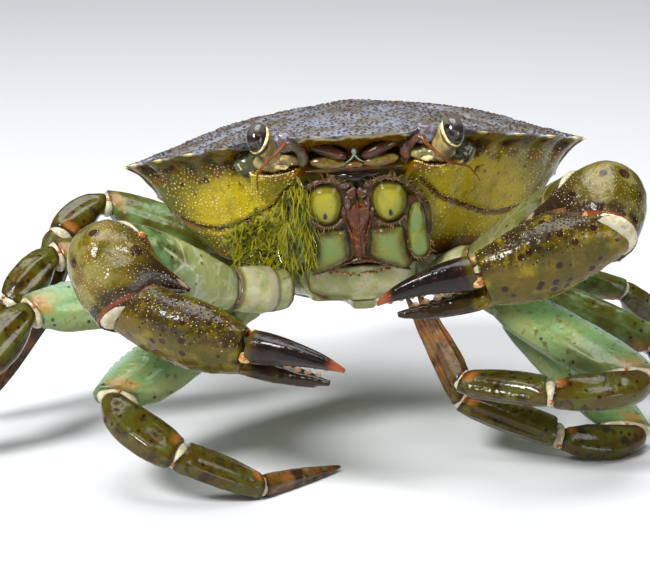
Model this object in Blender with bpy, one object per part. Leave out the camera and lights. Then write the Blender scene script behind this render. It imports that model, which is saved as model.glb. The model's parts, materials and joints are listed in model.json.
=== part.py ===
"""Shore crab, life size, as a still museum model: claws folded in front, legs tucked.

The crab faces -Y and its left side is +X. Sizes are in millimetres and angles in
degrees; a mesh is scaled to metres as it is written. The carapace, the face and the
roots of the legs are laid out in the body's own frame (side, forward, up), which
stands front-up and a little tilted over the floor at z = 0. The legs are chains of
tapering shell tubes, each a loft of rings along a bent spine, and what reaches the
floor is cut flat at z = 0.
"""
import math
from collections import namedtuple

import bmesh
import bpy
from mathutils import Matrix, Vector

METRES_PER_MM = 0.001

# ---- Stance of the body ----
BODY_HEIGHT = 40.5        # floor to the line through the hindmost side teeth
BODY_PITCH = 11.0         # front of the shell raised
BODY_TILT = 3.7           # left side of the shell raised

# ---- Carapace ----
DOME_HEIGHT = 7.3         # crown above the line through the hindmost side teeth
DOME_CENTRE = -4.0        # forward position of the crown
DOME_POWER = 1.78          # how flat the crown is before it falls to the margin
TOOTH_NOTCH = 1.3         # depth of the notch in front of each side tooth
UNDERSIDE_FLOOR = -14.3   # base of the carapace's lower walls, under the body's middle
BELLY_SLOPE = 0.075       # rise of the underside for each unit to the rear

# Half of the front margin, from the middle lobe to the eye's notch:
# (side, forward, forward if the eye's notch were filled)
FRONT_EDGE = (
    (0.0, 22.9, 22.9),
    (2.3, 22.1, 22.7),
    (4.8, 22.6, 22.5),
    (7.2, 21.7, 22.2),
    (8.6, 20.3, 21.9),
    (10.4, 18.9, 21.5),
    (12.8, 18.3, 20.8),
    (15.1, 18.3, 20.0),
)
# Tips of the five side teeth, front to back: (side, forward)
TOOTH_TIPS = ((17.2, 18.8), (22.4, 14.8), (27.0, 10.0), (30.9, 4.7), (32.6, -0.6))
# Half of the rear margin, from the last tooth to the middle: (side, forward)
REAR_EDGE = (
    (31.2, -3.4),
    (29.3, -7.0),
    (26.6, -11.4),
    (23.4, -16.2),
    (20.2, -20.8),
    (17.3, -24.6),
    (14.0, -27.0),
    (9.6, -28.0),
    (4.8, -28.3),
    (0.0, -28.3),
)
# Rings of the dome, outermost first: (share of the way from crown to margin,
# share of the way from the toothed outline to the smooth one)
DOME_RINGS = ((0.955, 0.55), (0.87, 0.95), (0.70, 1.0), (0.47, 1.0), (0.22, 1.0))
# Rings of the lower walls: (share of the way down, side scale, front scale,
# rear scale, share of the way to the smooth outline)
WALL_RINGS = (
    (0.06, 0.960, 0.860, 0.985, 0.20),
    (0.15, 0.930, 0.765, 0.975, 0.60),
    (0.27, 0.900, 0.745, 0.960, 1.0),
    (0.46, 0.840, 0.660, 0.930, 1.0),
    (0.68, 0.757, 0.565, 0.900, 1.0),
    (0.88, 0.655, 0.475, 0.860, 1.0),
    (1.00, 0.500, 0.410, 0.800, 1.0),
)
ORBIT_RIM = 2.1           # how far the lower rim of the eye's notch stands forward

# ---- Legs ----
JOINT_GAP = 0.3           # open space between two pieces of shell at a joint

Segment = namedtuple("Segment", "length height thickness")
Leg = namedtuple("Leg", "root merus carpus propodus dactyl")

# Walking legs by pair: (side, forward, up) of the root in the body frame, then each
# segment's length, height across the leg's fold, and thickness
LEGS = {
    2: Leg((13.5, -3.5, -18.1), Segment(33.0, 9.2, 4.6), Segment(13.0, 6.3, 4.6),
           Segment(12.4, 5.3, 3.8), Segment(14.8, 3.3, 2.7)),
    3: Leg((15.0, -9.5, -17.5), Segment(34.0, 8.2, 4.2), Segment(12.5, 6.2, 4.4),
           Segment(14.0, 5.0, 3.6), Segment(16.0, 3.1, 2.5)),
    4: Leg((14.5, -15.5, -16.8), Segment(30.5, 7.4, 4.0), Segment(11.0, 5.6, 4.1),
           Segment(13.5, 4.7, 3.4), Segment(15.0, 3.0, 2.4)),
    5: Leg((12.0, -20.8, -15.8), Segment(27.0, 6.4, 3.8), Segment(9.5, 5.2, 3.8),
           Segment(12.0, 5.0, 2.6), Segment(13.0, 4.2, 1.9)),
}
# Heading (0 faces forward, 90 is the crab's left) and lift of merus, carpus,
# propodus and dactyl
LEG_POSES = {
    "right_leg_2": ((-39, -16), (48, -24), (107, -26), (135, -3)),
    "right_leg_3": ((-67, -2), (-35, -26), (-76, -38), (-96, -20)),
    "right_leg_4": ((-76, 8), (-36, -27), (-90, -46), (-106, -40)),
    "right_leg_5": ((-90, 19), (-44, -20), (-22, -52), (-70, -60)),
    "left_leg_2": ((48, -16), (-71, -2), (-112, 0), (-150, 40)),
    "left_leg_3": ((57, -36), (-65, 7), (-94, 18), (-124, 56)),
    "left_leg_4": ((68, -18), (98, -48), (112, -14), (110, -3)),
    "left_leg_5": ((88, -12), (140, -36), (132, -33), (130, -20)),
}
# Claw legs: root, then base, merus, carpus and palm lengths
CLAW_ROOT = (10.6, 6.2, -18.0)
CLAW_BASE = Segment(9.0, 6.4, 6.0)
CLAW_MERUS = Segment(20.0, 9.0, 7.2)
CLAW_CARPUS = Segment(8.8, 11.2, 10.2)
CLAW_PALM_LENGTH = 17.3
CLAW_POSES = {
    "right": ((-58, 7), (-51, 25), (12, -54), (72, -13)),
    "left": ((38, 25), (55, 35), (15, -23), (-87, -19)),
}
FINGER_SWING = {"right": 11.0, "left": 6.0}   # opening of the moving finger
CLAW_LEAN = {"right": 38.0, "left": 20.0}   # turn of the palm's upper edge to the front

# Outlines of one shell tube along its length:
# (share of length, share of height, share of thickness)
LEG_BASE_SHARE = 0.28     # coxa, basis and ischium, joined to the merus
MERUS_OUTLINE = ((0.0, 0.58, 0.95), (0.10, 0.64, 1.0), (0.20, 0.60, 0.86), (LEG_BASE_SHARE, 0.66, 0.88),
                 (0.42, 0.92, 0.98), (0.64, 1.0, 1.0), (0.85, 0.95, 0.98), (1.0, 0.70, 0.88))
CARPUS_OUTLINE = ((0.0, 0.50, 0.62), (0.16, 0.70, 0.86), (0.42, 0.98, 1.0), (0.72, 1.0, 1.0),
                  (1.0, 0.76, 0.82))
PROPODUS_OUTLINE = ((0.0, 0.80, 0.82), (0.14, 0.98, 0.96), (0.50, 1.0, 1.0), (0.82, 0.86, 0.90),
                    (1.0, 0.66, 0.78))
DACTYL_OUTLINE = ((0.0, 0.92, 0.92), (0.10, 1.0, 1.0), (0.40, 0.82, 0.84), (0.75, 0.50, 0.54),
                  (0.94, 0.24, 0.27), (1.0, 0.12, 0.14))
CLAW_BASE_OUTLINE = ((0.0, 0.80, 0.86), (0.3, 0.98, 1.0), (0.7, 1.0, 0.98), (1.0, 0.84, 0.82))
CLAW_MERUS_OUTLINE = ((0.0, 0.62, 0.66), (0.15, 0.74, 0.80), (0.45, 0.92, 0.94), (0.8, 1.0, 1.0),
                      (1.0, 0.86, 0.82))
CLAW_CARPUS_OUTLINE = ((0.0, 0.30, 0.30), (0.09, 0.66, 0.66), (0.26, 0.93, 0.93), (0.50, 1.0, 1.0),
                       (0.74, 0.93, 0.93), (0.92, 0.76, 0.76), (1.10, 0.56, 0.58))
CLAW_CARPUS_AHEAD = 3.6   # crown of the claw's carpus beyond the merus, along the merus
CLAW_CARPUS_ABOVE = 2.4   # the same crown behind the joint, along the carpus
LEG_SIDES = 10
CLAW_SIDES = 12

# ---- Claw fingers, measured along the palm from the wrist ----
# (distance, rise of the middle, half height, half thickness)
PALM_STATIONS = (
    (-3.3, 0.0, 2.0, 1.8),
    (-2.1, 0.0, 3.1, 2.6),
    (0.9, 0.1, 3.9, 3.1),
    (4.4, 0.3, 4.5, 3.3),
    (9.0, 0.2, 4.8, 3.5),
    (13.4, 0.15, 4.4, 3.2),
    (16.7, 0.1, 3.9, 2.7),
    (17.2, -2.4, 1.45, 1.9),
    (20.0, -2.3, 1.35, 1.65),
    (23.5, -1.9, 1.15, 1.3),
    (26.5, -1.3, 0.80, 0.9),
    (28.6, -0.7, 0.30, 0.35),
)
FINGER_STATIONS = (
    (17.6, 1.65, 2.2, 2.0),
    (18.8, 1.75, 2.3, 2.05),
    (22.0, 2.0, 1.9, 1.7),
    (25.2, 1.9, 1.4, 1.25),
    (28.4, 1.4, 0.85, 0.8),
    (30.7, 0.6, 0.28, 0.30),
)
THORN_LENGTH = 3.4        # spine at the inner corner of the claw's carpus

# ---- Face, for the crab's left side: (side, forward, up) and radii ----
STALK_PATH = (((10.7, 18.5, 0.5), 1.30, 1.35), ((11.2, 19.4, 0.9), 1.45, 1.70), ((12.0, 20.3, 2.1), 1.40, 1.95))
CORNEA_CENTRE = (12.35, 20.72, 2.55)
CORNEA_AXIS = (0.35, 0.80, 0.38)
CORNEA_RINGS = ((0.0, 1.0), (0.45, 0.97), (0.95, 0.80), (1.3, 0.50))
CORNEA_HALF_HEIGHT = 1.90
CORNEA_HALF_WIDTH = 1.32
CORNEA_DEPTH = 1.5
ANTENNULE_PATH = (((1.5, 18.8, -0.15), 0.30), ((1.75, 18.8, -0.15), 0.60), ((2.5, 18.8, -0.1), 0.74),
                  ((4.4, 18.7, -0.05), 0.70), ((5.2, 18.6, -0.05), 0.52), ((5.5, 18.6, -0.05), 0.28))
ANTENNA_BASE = (((7.8, 18.5, -0.9), 0.95), ((7.9, 19.5, -0.3), 0.95), ((8.0, 20.5, 0.5), 0.85),
                ((8.1, 21.2, 0.9), 0.62))
ANTENNA_WHIP = {
    "left": ((8.8, 21.9, 1.1), (9.9, 22.3, 0.4), (13.0, 21.4, -1.6), (15.0, 20.0, -2.8), (16.4, 18.6, -4.4)),
    "right": ((8.9, 22.0, 1.7), (10.9, 22.4, 0.9), (12.4, 21.8, -0.6), (13.1, 20.2, -2.1), (13.3, 18.2, -3.8)),
}
WHIP_ROOT = 0.45          # radius of the antenna's whip where it starts
WHIP_TIP = 0.27
EPISTOME_HALF_WIDTH = 6.6
MOUTH_TOP = -2.6          # height in the body where the mouth plates start
MOUTH_SLOPE = 0.565       # forward run of the mouth field for each unit of height
MOUTH_FRONT = 17.85       # forward position of the mouth field carried up to height 0
MOUTH_PLATE = 1.3         # thickness of the mouth plates
MOUTH_GAP = 0.75          # space behind the mouth plates
# Outline of one mouth plate: (side, distance down the mouth field)
MOUTH_OUTLINE = ((0.35, 1.2), (1.5, 0.3), (3.4, 0.0), (5.6, 0.5), (6.8, 2.5), (8.7, 3.2), (9.7, 4.8),
                 (9.7, 8.0), (9.0, 10.6), (6.9, 12.6), (3.4, 12.0), (0.35, 10.9))

# ---- Underside: half outlines, (side, forward) ----
STERNUM_OUTLINE = ((0.0, 8.9), (4.6, 8.5), (7.4, 6.9), (7.9, 3.6), (9.0, 0.2), (11.0, -4.0), (11.6, -10.0),
                   (11.0, -16.0), (8.8, -21.0), (5.0, -24.2), (0.0, -25.0))
STERNUM_RINGS = ((-14.65, 1.0, 1.0), (-17.6, 1.0, 0.88), (-19.2, 0.94, 0.66), (-19.9, 0.80, 0.50))
ABDOMEN_OUTLINE = ((0.0, 1.9), (1.5, 1.2), (2.3, -2.0), (3.4, -6.0), (5.4, -9.5), (6.6, -14.0), (7.6, -19.0),
                   (7.2, -22.8), (3.8, -24.6), (0.0, -25.0))
ABDOMEN_RINGS = ((-20.2, 0.92, 0.96), (-20.8, 1.0, 1.0), (-21.5, 0.92, 0.96), (-21.9, 0.70, 0.80))

# ---- Materials: sRGB colour and roughness ----
COLOURS = {
    "carapace_shell": ("4D5140", 0.32),
    "claw_shell": ("55531A", 0.28),
    "leg_shell": ("4F7A4B", 0.30),
    "claw_finger_shell": ("241A17", 0.25),
    "pale_shell": ("A9B58C", 0.35),
    "mouth_shell": ("7D8F3C", 0.32),
    "eye_cornea": ("2E2E2C", 0.10),
    "eyestalk_shell": ("C9C188", 0.30),
    "feeler_shell": ("6B4426", 0.35),
}


# ---------------------------------------------------------------- frames

def rotation(angle, axis):
    return Matrix.Rotation(math.radians(angle), 4, axis)


BODY_FRAME = Matrix.Translation((0.0, 0.0, BODY_HEIGHT)) @ rotation(-BODY_TILT, "Y") @ rotation(-BODY_PITCH, "X")


def body_point(side, forward, up):
    """A point of the body frame in the model's own millimetres."""
    return BODY_FRAME @ Vector((side, -forward, up))


def body_direction(side, forward, up):
    return (BODY_FRAME.to_3x3() @ Vector((side, -forward, up))).normalized()


def pose_direction(heading, lift):
    """Unit vector from a heading (0 forward, 90 to the crab's left) and a lift."""
    level = math.cos(math.radians(lift))
    turn = math.radians(heading)
    return Vector((math.sin(turn) * level, -math.cos(turn) * level, math.sin(math.radians(lift))))


def side_sign(side):
    return 1.0 if side == "left" else -1.0


# ---------------------------------------------------------------- lofting

def ring_edges(mesh, ring):
    return [mesh.edges.get((vert, ring[index - 1])) for index, vert in enumerate(ring)]


def place(ring, points):
    for vert, point in zip(ring, points):
        vert.co = point


def first_ring(mesh, points):
    ring = bmesh.ops.create_circle(mesh, segments=len(points), radius=1.0)["verts"]
    place(ring, points)
    return ring


def next_ring(mesh, ring, points):
    """Extrude a ring of vertices to new points and return the new ring."""
    made = bmesh.ops.extrude_edge_only(mesh, edges=ring_edges(mesh, ring))["geom"]
    fresh = {item for item in made if isinstance(item, bmesh.types.BMVert)}
    lifted = []
    for vert in ring:
        lifted.append(next(edge.other_vert(vert) for edge in vert.link_edges if edge.other_vert(vert) in fresh))
    place(lifted, points)
    return lifted


def cap_flat(mesh, ring):
    bmesh.ops.contextual_create(mesh, geom=ring_edges(mesh, ring))


def cap_crown(mesh, ring, point):
    """Close a ring with a fan of faces up to one point."""
    tip = next_ring(mesh, ring, [point] * len(ring))
    bmesh.ops.pointmerge(mesh, verts=tip, merge_co=point)


def loft(rings):
    """A closed tube through rings of points, with flat ends."""
    mesh = bmesh.new()
    ring = first_ring(mesh, rings[0])
    cap_flat(mesh, ring)
    for points in rings[1:]:
        ring = next_ring(mesh, ring, points)
    cap_flat(mesh, ring)
    return mesh


def cut_away(mesh, point, normal):
    """Cut away what lies behind a plane and close the cut with a flat."""
    if min((vert.co - point).dot(normal) for vert in mesh.verts) >= 0.0:
        return
    geometry = list(mesh.verts) + list(mesh.edges) + list(mesh.faces)
    bmesh.ops.bisect_plane(mesh, geom=geometry, dist=1e-4, plane_co=point, plane_no=normal, clear_inner=True)
    rim = [edge for edge in mesh.edges if edge.is_boundary]
    bmesh.ops.contextual_create(mesh, geom=rim)


def add_object(name, mesh, material):
    """Stand a mesh on the floor with a flat and write it in metres to a new object."""
    cut_away(mesh, Vector(), Vector((0.0, 0.0, 1.0)))
    bmesh.ops.recalc_face_normals(mesh, faces=mesh.faces)
    bmesh.ops.scale(mesh, vec=(METRES_PER_MM,) * 3, verts=mesh.verts)
    data = bpy.data.meshes.new(name)
    mesh.to_mesh(data)
    mesh.free()
    data.materials.append(material)
    data.shade_smooth()
    data.set_sharp_from_angle(angle=math.radians(50))
    item = bpy.data.objects.new(name, data)
    bpy.context.scene.collection.objects.link(item)
    return item


def make_material(name):
    colour, roughness = COLOURS[name]
    channels = [int(colour[start:start + 2], 16) / 255 for start in (0, 2, 4)]
    linear = [value / 12.92 if value <= 0.04045 else ((value + 0.055) / 1.055) ** 2.4 for value in channels]
    material = bpy.data.materials.new(name)
    material.use_nodes = True
    shader = material.node_tree.nodes["Principled BSDF"]
    shader.inputs["Base Color"].default_value = (*linear, 1.0)
    shader.inputs["Roughness"].default_value = roughness
    shader.inputs["Metallic"].default_value = 0.0
    material.diffuse_color = (*linear, 1.0)
    return material


# ---------------------------------------------------------------- shell tubes

def tube_ring(centre, tangent, dorsal, half_height, half_thickness, sides):
    """A rounded ring across a leg, its first point on the dorsal ridge."""
    dorsal = (dorsal - tangent * dorsal.dot(tangent)).normalized()
    flank = tangent.cross(dorsal)
    points = []
    for index in range(sides):
        angle = 2.0 * math.pi * index / sides
        across = math.copysign(abs(math.sin(angle)) ** 0.85, math.sin(angle))
        points.append(centre + dorsal * half_height * math.cos(angle) + flank * half_thickness * across)
    return points


def blend(first, second, share):
    return (first * (1.0 - share) + second * share).normalized()


def ease(value):
    value = min(max(value, 0.0), 1.0)
    return value * value * (3.0 - 2.0 * value)


def straight_spine(start, end, start_tangent, end_tangent, share):
    """Point on a straight line, with the tangent turned only near the ends."""
    along = (end - start).normalized()
    reach = 0.25
    tangent = blend(along, start_tangent, ease(1.0 - share / reach))
    tangent = blend(tangent, end_tangent, ease(1.0 - (1.0 - share) / reach))
    return start.lerp(end, share), tangent


def bent_spine(start, end, start_tangent, end_tangent, share):
    """Point and tangent on a cubic curve between two joints."""
    pull = (end - start).length * 0.75
    first = start_tangent * pull
    last = end_tangent * pull
    square = share * share
    cube = square * share
    point = (start * (2 * cube - 3 * square + 1) + first * (cube - 2 * square + share)
             + end * (3 * square - 2 * cube) + last * (cube - square))
    tangent = (start * (6 * square - 6 * share) + first * (3 * square - 4 * share + 1)
               + end * (6 * share - 6 * square) + last * (3 * square - 2 * share))
    return point, tangent.normalized()


def tube_rings(spine, ends, tangents, segment, outline, normal, sides):
    """Rings of one shell tube, run a little past its joints."""
    start = ends[0] - tangents[0] * JOINT_GAP
    end = ends[1] + tangents[1] * JOINT_GAP
    rings = []
    for share, height, thickness in outline:
        centre, tangent = spine(start, end, tangents[0], tangents[1], share)
        dorsal = tangent.cross(normal)
        rings.append(tube_ring(centre, tangent, dorsal, segment.height * height / 2,
                               segment.thickness * thickness / 2, sides))
    return rings


def cut_tube(rings, ends, tangents, free_end=False):
    """A lofted tube cut flat at its joints, each cut half a gap short of the joint."""
    mesh = loft(rings)
    cut_away(mesh, ends[0] + tangents[0] * (JOINT_GAP / 2), tangents[0])
    if not free_end:
        cut_away(mesh, ends[1] - tangents[1] * (JOINT_GAP / 2), -tangents[1])
    return mesh


def chain(root, directions, lengths):
    """Joint points of a leg from its root."""
    joints = [root]
    for direction, length in zip(directions, lengths):
        joints.append(joints[-1] + direction * length)
    return joints


def joint_tangents(directions, shares):
    """Direction across each joint: a share of the way from one segment to the next."""
    tangents = [directions[0]]
    for index, share in enumerate(shares):
        tangents.append(blend(directions[index], directions[index + 1], share))
    tangents.append(directions[-1])
    return tangents


# ---------------------------------------------------------------- carapace

def margin_height(forward):
    """Height of the shell's edge in the body frame at a forward position."""
    if forward >= 0.0:
        return 0.055 * forward + 0.003 * forward ** 2
    return 0.02 * forward - 0.0018 * forward ** 2


def belly(forward):
    """Rise of the sloping underside at a forward position."""
    return -BELLY_SLOPE * forward


def tooth_points():
    """Toothed and smooth outline points from the first side tooth to the last."""
    tips = [Vector(tip) for tip in TOOTH_TIPS]
    pairs = []
    for index, tip in enumerate(tips):
        neighbour = tips[min(index + 1, len(tips) - 1)] - tips[max(index - 1, 0)]
        outward = Vector((-neighbour.y, neighbour.x)).normalized()
        pairs.append((tip, tip - outward * TOOTH_NOTCH))
        if index + 1 == len(tips):
            break
        along = tips[index + 1] - tip
        outward = Vector((-along.y, along.x)).normalized()
        shoulder = tip + along * 0.45 + outward * 0.25
        notch = tip + along * 0.84 - outward * TOOTH_NOTCH
        pairs.append((shoulder, shoulder - outward * TOOTH_NOTCH))
        pairs.append((notch, notch))
    return pairs


def outline_pairs():
    """The whole outline, crab's left side first: (toothed, smooth) points and eye weight."""
    half = []
    for side, forward, filled in FRONT_EDGE:
        half.append((Vector((side, forward)), Vector((side, filled)), ease((filled - forward) / 1.8)))
    half += [(point, smooth, 0.0) for point, smooth in tooth_points()]
    half += [(Vector(point), Vector(point), 0.0) for point in REAR_EDGE]
    mirror = Matrix.Diagonal((-1.0, 1.0))
    other = [(mirror @ point, mirror @ smooth, eye) for point, smooth, eye in half[1:-1]]
    return half + other[::-1]


def dome_bumps(side, forward):
    """Low swellings over the stomach, the heart and the gills, and the grooves between."""
    def swelling(middle, height, wide, long):
        across = (abs(side) - middle[0]) / wide
        along = (forward - middle[1]) / long
        return height * math.exp(-across * across - along * along)
    bumps = swelling((0.0, 7.0), 0.35, 7.0, 7.0) + swelling((0.0, -14.0), 0.35, 4.5, 5.0)
    bumps += swelling((15.0, -8.0), 0.30, 7.0, 8.0) + swelling((14.0, 8.0), 0.2, 5.0, 4.0)
    return bumps - swelling((7.0, -9.0), 0.40, 2.0, 6.0)


def dome_ring(pairs, reach, smoothing):
    crown = Vector((0.0, DOME_CENTRE))
    points = []
    for toothed, smooth, eye in pairs:
        edge = toothed.lerp(smooth, smoothing)
        flat = crown.lerp(edge, reach)
        low = margin_height(edge.y) + 0.6 * eye * (1.0 - smoothing)
        high = low + (DOME_HEIGHT - low) * (1.0 - reach ** DOME_POWER)
        points.append(body_point(flat.x, flat.y, high + dome_bumps(flat.x, flat.y) * ease((1 - reach) * 6)))
    return points


def wall_ring(pairs, drop, side_scale, front_scale, rear_scale, smoothing):
    points = []
    for toothed, smooth, eye in pairs:
        edge = toothed.lerp(smooth, smoothing)
        top = margin_height(toothed.y) + 0.6 * eye
        forward = edge.y * (front_scale if edge.y > 0.0 else rear_scale)
        up = top + (UNDERSIDE_FLOOR + belly(forward) - top) * drop
        forward += ORBIT_RIM * 1.5 * eye * math.exp(-((drop - 0.27) / 0.08) ** 2)
        points.append(body_point(edge.x * side_scale, forward, up))
    return points


def make_carapace():
    pairs = outline_pairs()
    mesh = bmesh.new()
    margin = [body_point(point.x, point.y, margin_height(point.y) + 0.6 * eye) for point, smooth, eye in pairs]
    ring = first_ring(mesh, margin)
    for reach, smoothing in DOME_RINGS:
        ring = next_ring(mesh, ring, dome_ring(pairs, reach, smoothing))
    crown = body_point(0.0, DOME_CENTRE, DOME_HEIGHT + dome_bumps(0.0, DOME_CENTRE))
    cap_crown(mesh, ring, crown)
    ring = [vert for edge in mesh.edges if edge.is_boundary for vert in edge.verts]
    ring = [next(vert for vert in ring if (vert.co - point).length < 1e-4) for point in margin]
    for station in WALL_RINGS:
        ring = next_ring(mesh, ring, wall_ring(pairs, *station))
    cap_flat(mesh, ring)
    return mesh


# ---------------------------------------------------------------- face

def make_path_tube(path, sides):
    """A round tube through (point, radius) stations in the model's millimetres."""
    rings = []
    for index, (centre, radius) in enumerate(path):
        ahead = path[min(index + 1, len(path) - 1)][0]
        behind = path[max(index - 1, 0)][0]
        tangent = (ahead - behind).normalized()
        rings.append(tube_ring(centre, tangent, Vector((0.02, 0.03, 1.0)), radius, radius, sides))
    return loft(rings)


def mirrored(point, side):
    return body_point(point[0] * side_sign(side), point[1], point[2])


def make_eyestalk(side):
    up = body_direction(0.0, 0.0, 1.0)
    optic = body_direction(CORNEA_AXIS[0] * side_sign(side), CORNEA_AXIS[1], CORNEA_AXIS[2])
    rings = []
    for index, (point, width, height) in enumerate(STALK_PATH):
        tangent = blend(body_direction(0.2 * side_sign(side), 0.9, 0.3), optic, index / (len(STALK_PATH) - 1))
        rings.append(tube_ring(mirrored(point, side), tangent, up, height, width, CLAW_SIDES))
    return loft(rings)


def make_cornea(side):
    up = body_direction(0.0, 0.0, 1.0)
    optic = body_direction(CORNEA_AXIS[0] * side_sign(side), CORNEA_AXIS[1], CORNEA_AXIS[2])
    base = mirrored(CORNEA_CENTRE, side)
    rings = []
    for depth, share in CORNEA_RINGS:
        rings.append(tube_ring(base + optic * depth, optic, up, CORNEA_HALF_HEIGHT * share,
                               CORNEA_HALF_WIDTH * share, CLAW_SIDES))
    mesh = bmesh.new()
    ring = first_ring(mesh, rings[0])
    cap_flat(mesh, ring)
    for points in rings[1:]:
        ring = next_ring(mesh, ring, points)
    cap_crown(mesh, ring, base + optic * CORNEA_DEPTH)
    return mesh


def make_antennule(side):
    return make_path_tube([(mirrored(point, side), radius) for point, radius in ANTENNULE_PATH], 8)


def make_antenna(side):
    """Thick base articles, then a thin whip that droops past the eye."""
    path = [(mirrored(point, side), radius) for point, radius in ANTENNA_BASE]
    whip = ANTENNA_WHIP[side]
    for index, point in enumerate(whip):
        radius = WHIP_ROOT + (WHIP_TIP - WHIP_ROOT) * index / (len(whip) - 1)
        path.append((mirrored(point, side), radius))
    return make_path_tube(path, 8)


def mouth_point(side, down, lift):
    """A point over the sloping mouth field: side, distance down it, and height off it."""
    length = math.hypot(1.0, MOUTH_SLOPE)
    up = MOUTH_TOP - down / length + lift * MOUTH_SLOPE / length * -1.0
    forward = MOUTH_FRONT + MOUTH_SLOPE * (MOUTH_TOP - down / length) + lift / length
    return body_point(side, forward, up)


def make_maxilliped(side):
    """One outer mouth plate, as a slab with a rounded front edge."""
    centre = Vector((4.8, 6.2))
    rings = []
    for lift, shrink in ((0.0, 0.95), (0.35, 1.0), (MOUTH_PLATE - 0.35, 1.0), (MOUTH_PLATE, 0.90)):
        points = []
        for across, down in MOUTH_OUTLINE:
            flat = centre.lerp(Vector((across, down)), shrink)
            points.append(mouth_point(flat.x * side_sign(side), flat.y, MOUTH_GAP + lift))
        rings.append(points)
    return loft(rings)


def make_epistome():
    """The bar between the antennules and the mouth, with a raised middle."""
    rings = []
    for index in range(9):
        across = -EPISTOME_HALF_WIDTH + 2 * EPISTOME_HALF_WIDTH * index / 8
        peak = math.exp(-(across / 1.1) ** 2)
        taper = math.sqrt(max(1.0 - (across / (EPISTOME_HALF_WIDTH * 1.06)) ** 2, 0.05))
        centre = body_point(across, 18.3 + 0.3 * peak, -1.75 + 0.2 * peak)
        rings.append(tube_ring(centre, body_direction(1.0, 0.0, 0.0), body_direction(0.0, 0.0, 1.0),
                               0.42 * taper + 0.30 * peak, 0.55 * taper + 0.25 * peak, 8))
    return loft(rings)


# ---------------------------------------------------------------- underside

def slab_ring(outline, up, scale, front_scale):
    """A full ring from a half outline at one height."""
    half = []
    for side, forward in outline:
        shift = front_scale if forward > 0.0 else scale
        half.append((side * scale, forward * shift))
    whole = half + [(-side, forward) for side, forward in half[1:-1]][::-1]
    return [body_point(side, forward, up + belly(forward)) for side, forward in whole]


def make_sternum():
    return loft([slab_ring(STERNUM_OUTLINE, up, scale, front) for up, scale, front in STERNUM_RINGS])


def make_abdomen():
    rings = []
    for up, across, along in ABDOMEN_RINGS:
        outline = [(side * across, -11.5 + (forward + 11.5) * along) for side, forward in ABDOMEN_OUTLINE]
        rings.append(slab_ring(outline, up, 1.0, 1.0))
    return loft(rings)


# ---------------------------------------------------------------- legs

def make_leg(side, number, materials):
    """Four shell tubes of one walking leg."""
    leg = LEGS[number]
    name = f"{side}_leg_{number}"
    directions = [pose_direction(*pose) for pose in LEG_POSES[name]]
    segments = leg[1:]
    joints = chain(mirrored(leg.root, side), directions, [segment.length for segment in segments])
    tangents = joint_tangents(directions, (0.34, 0.5, 0.5))
    normal = directions[0].cross(directions[1]).normalized()
    outlines = (MERUS_OUTLINE, CARPUS_OUTLINE, PROPODUS_OUTLINE, DACTYL_OUTLINE)
    spines = (straight_spine, bent_spine, straight_spine, straight_spine)
    for index, part in enumerate(("merus", "carpus", "propodus", "dactyl")):
        ends = joints[index:index + 2]
        turns = tangents[index:index + 2]
        rings = tube_rings(spines[index], ends, turns, segments[index], outlines[index], normal, LEG_SIDES)
        mesh = cut_tube(rings, ends, turns, free_end=part == "dactyl")
        add_object(f"{name}_{part}", mesh, materials["leg_shell"])


def palm_frame(side, direction):
    """Upper direction of a palm, leaned to the front about the palm's axis."""
    up = Vector((0.0, 0.0, 1.0))
    up = (up - direction * up.dot(direction)).normalized()
    front = Vector((0.0, -1.0, 0.0))
    front = (front - direction * front.dot(direction)).normalized()
    lean = math.radians(CLAW_LEAN[side])
    return (up * math.cos(lean) + front * math.sin(lean)).normalized()


def palm_rings(wrist, along, up):
    """Rings of the palm and its fixed finger, measured along the palm."""
    rings = []
    for distance, rise, height, thickness in PALM_STATIONS:
        rings.append(tube_ring(wrist + along * distance + up * rise, along, up, height, thickness, CLAW_SIDES))
    return rings


def finger_rings(wrist, along, up, swing):
    """Rings of the moving finger, opened about its hinge; its first ring stays on the hinge face."""
    hinge = Vector(FINGER_STATIONS[0][:2])
    turn = Matrix.Rotation(math.radians(swing), 2)
    swung = along * math.cos(math.radians(swing)) + up * math.sin(math.radians(swing))
    rings = []
    for index, (distance, rise, height, thickness) in enumerate(FINGER_STATIONS):
        place_now = hinge + turn @ (Vector((distance, rise)) - hinge)
        tangent = along if index == 0 else swung
        centre = wrist + along * place_now.x + up * place_now.y
        rings.append(tube_ring(centre, tangent, up, height, thickness, CLAW_SIDES))
    return rings


def pull_thorn(rings, toward):
    """Draw one point of a ring out to a sharp spine."""
    ring = rings[4]
    centre = sum(ring, Vector()) / len(ring)
    index = max(range(len(ring)), key=lambda item: (ring[item] - centre).normalized().dot(toward))
    ring[index] = ring[index] + toward * THORN_LENGTH


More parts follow.
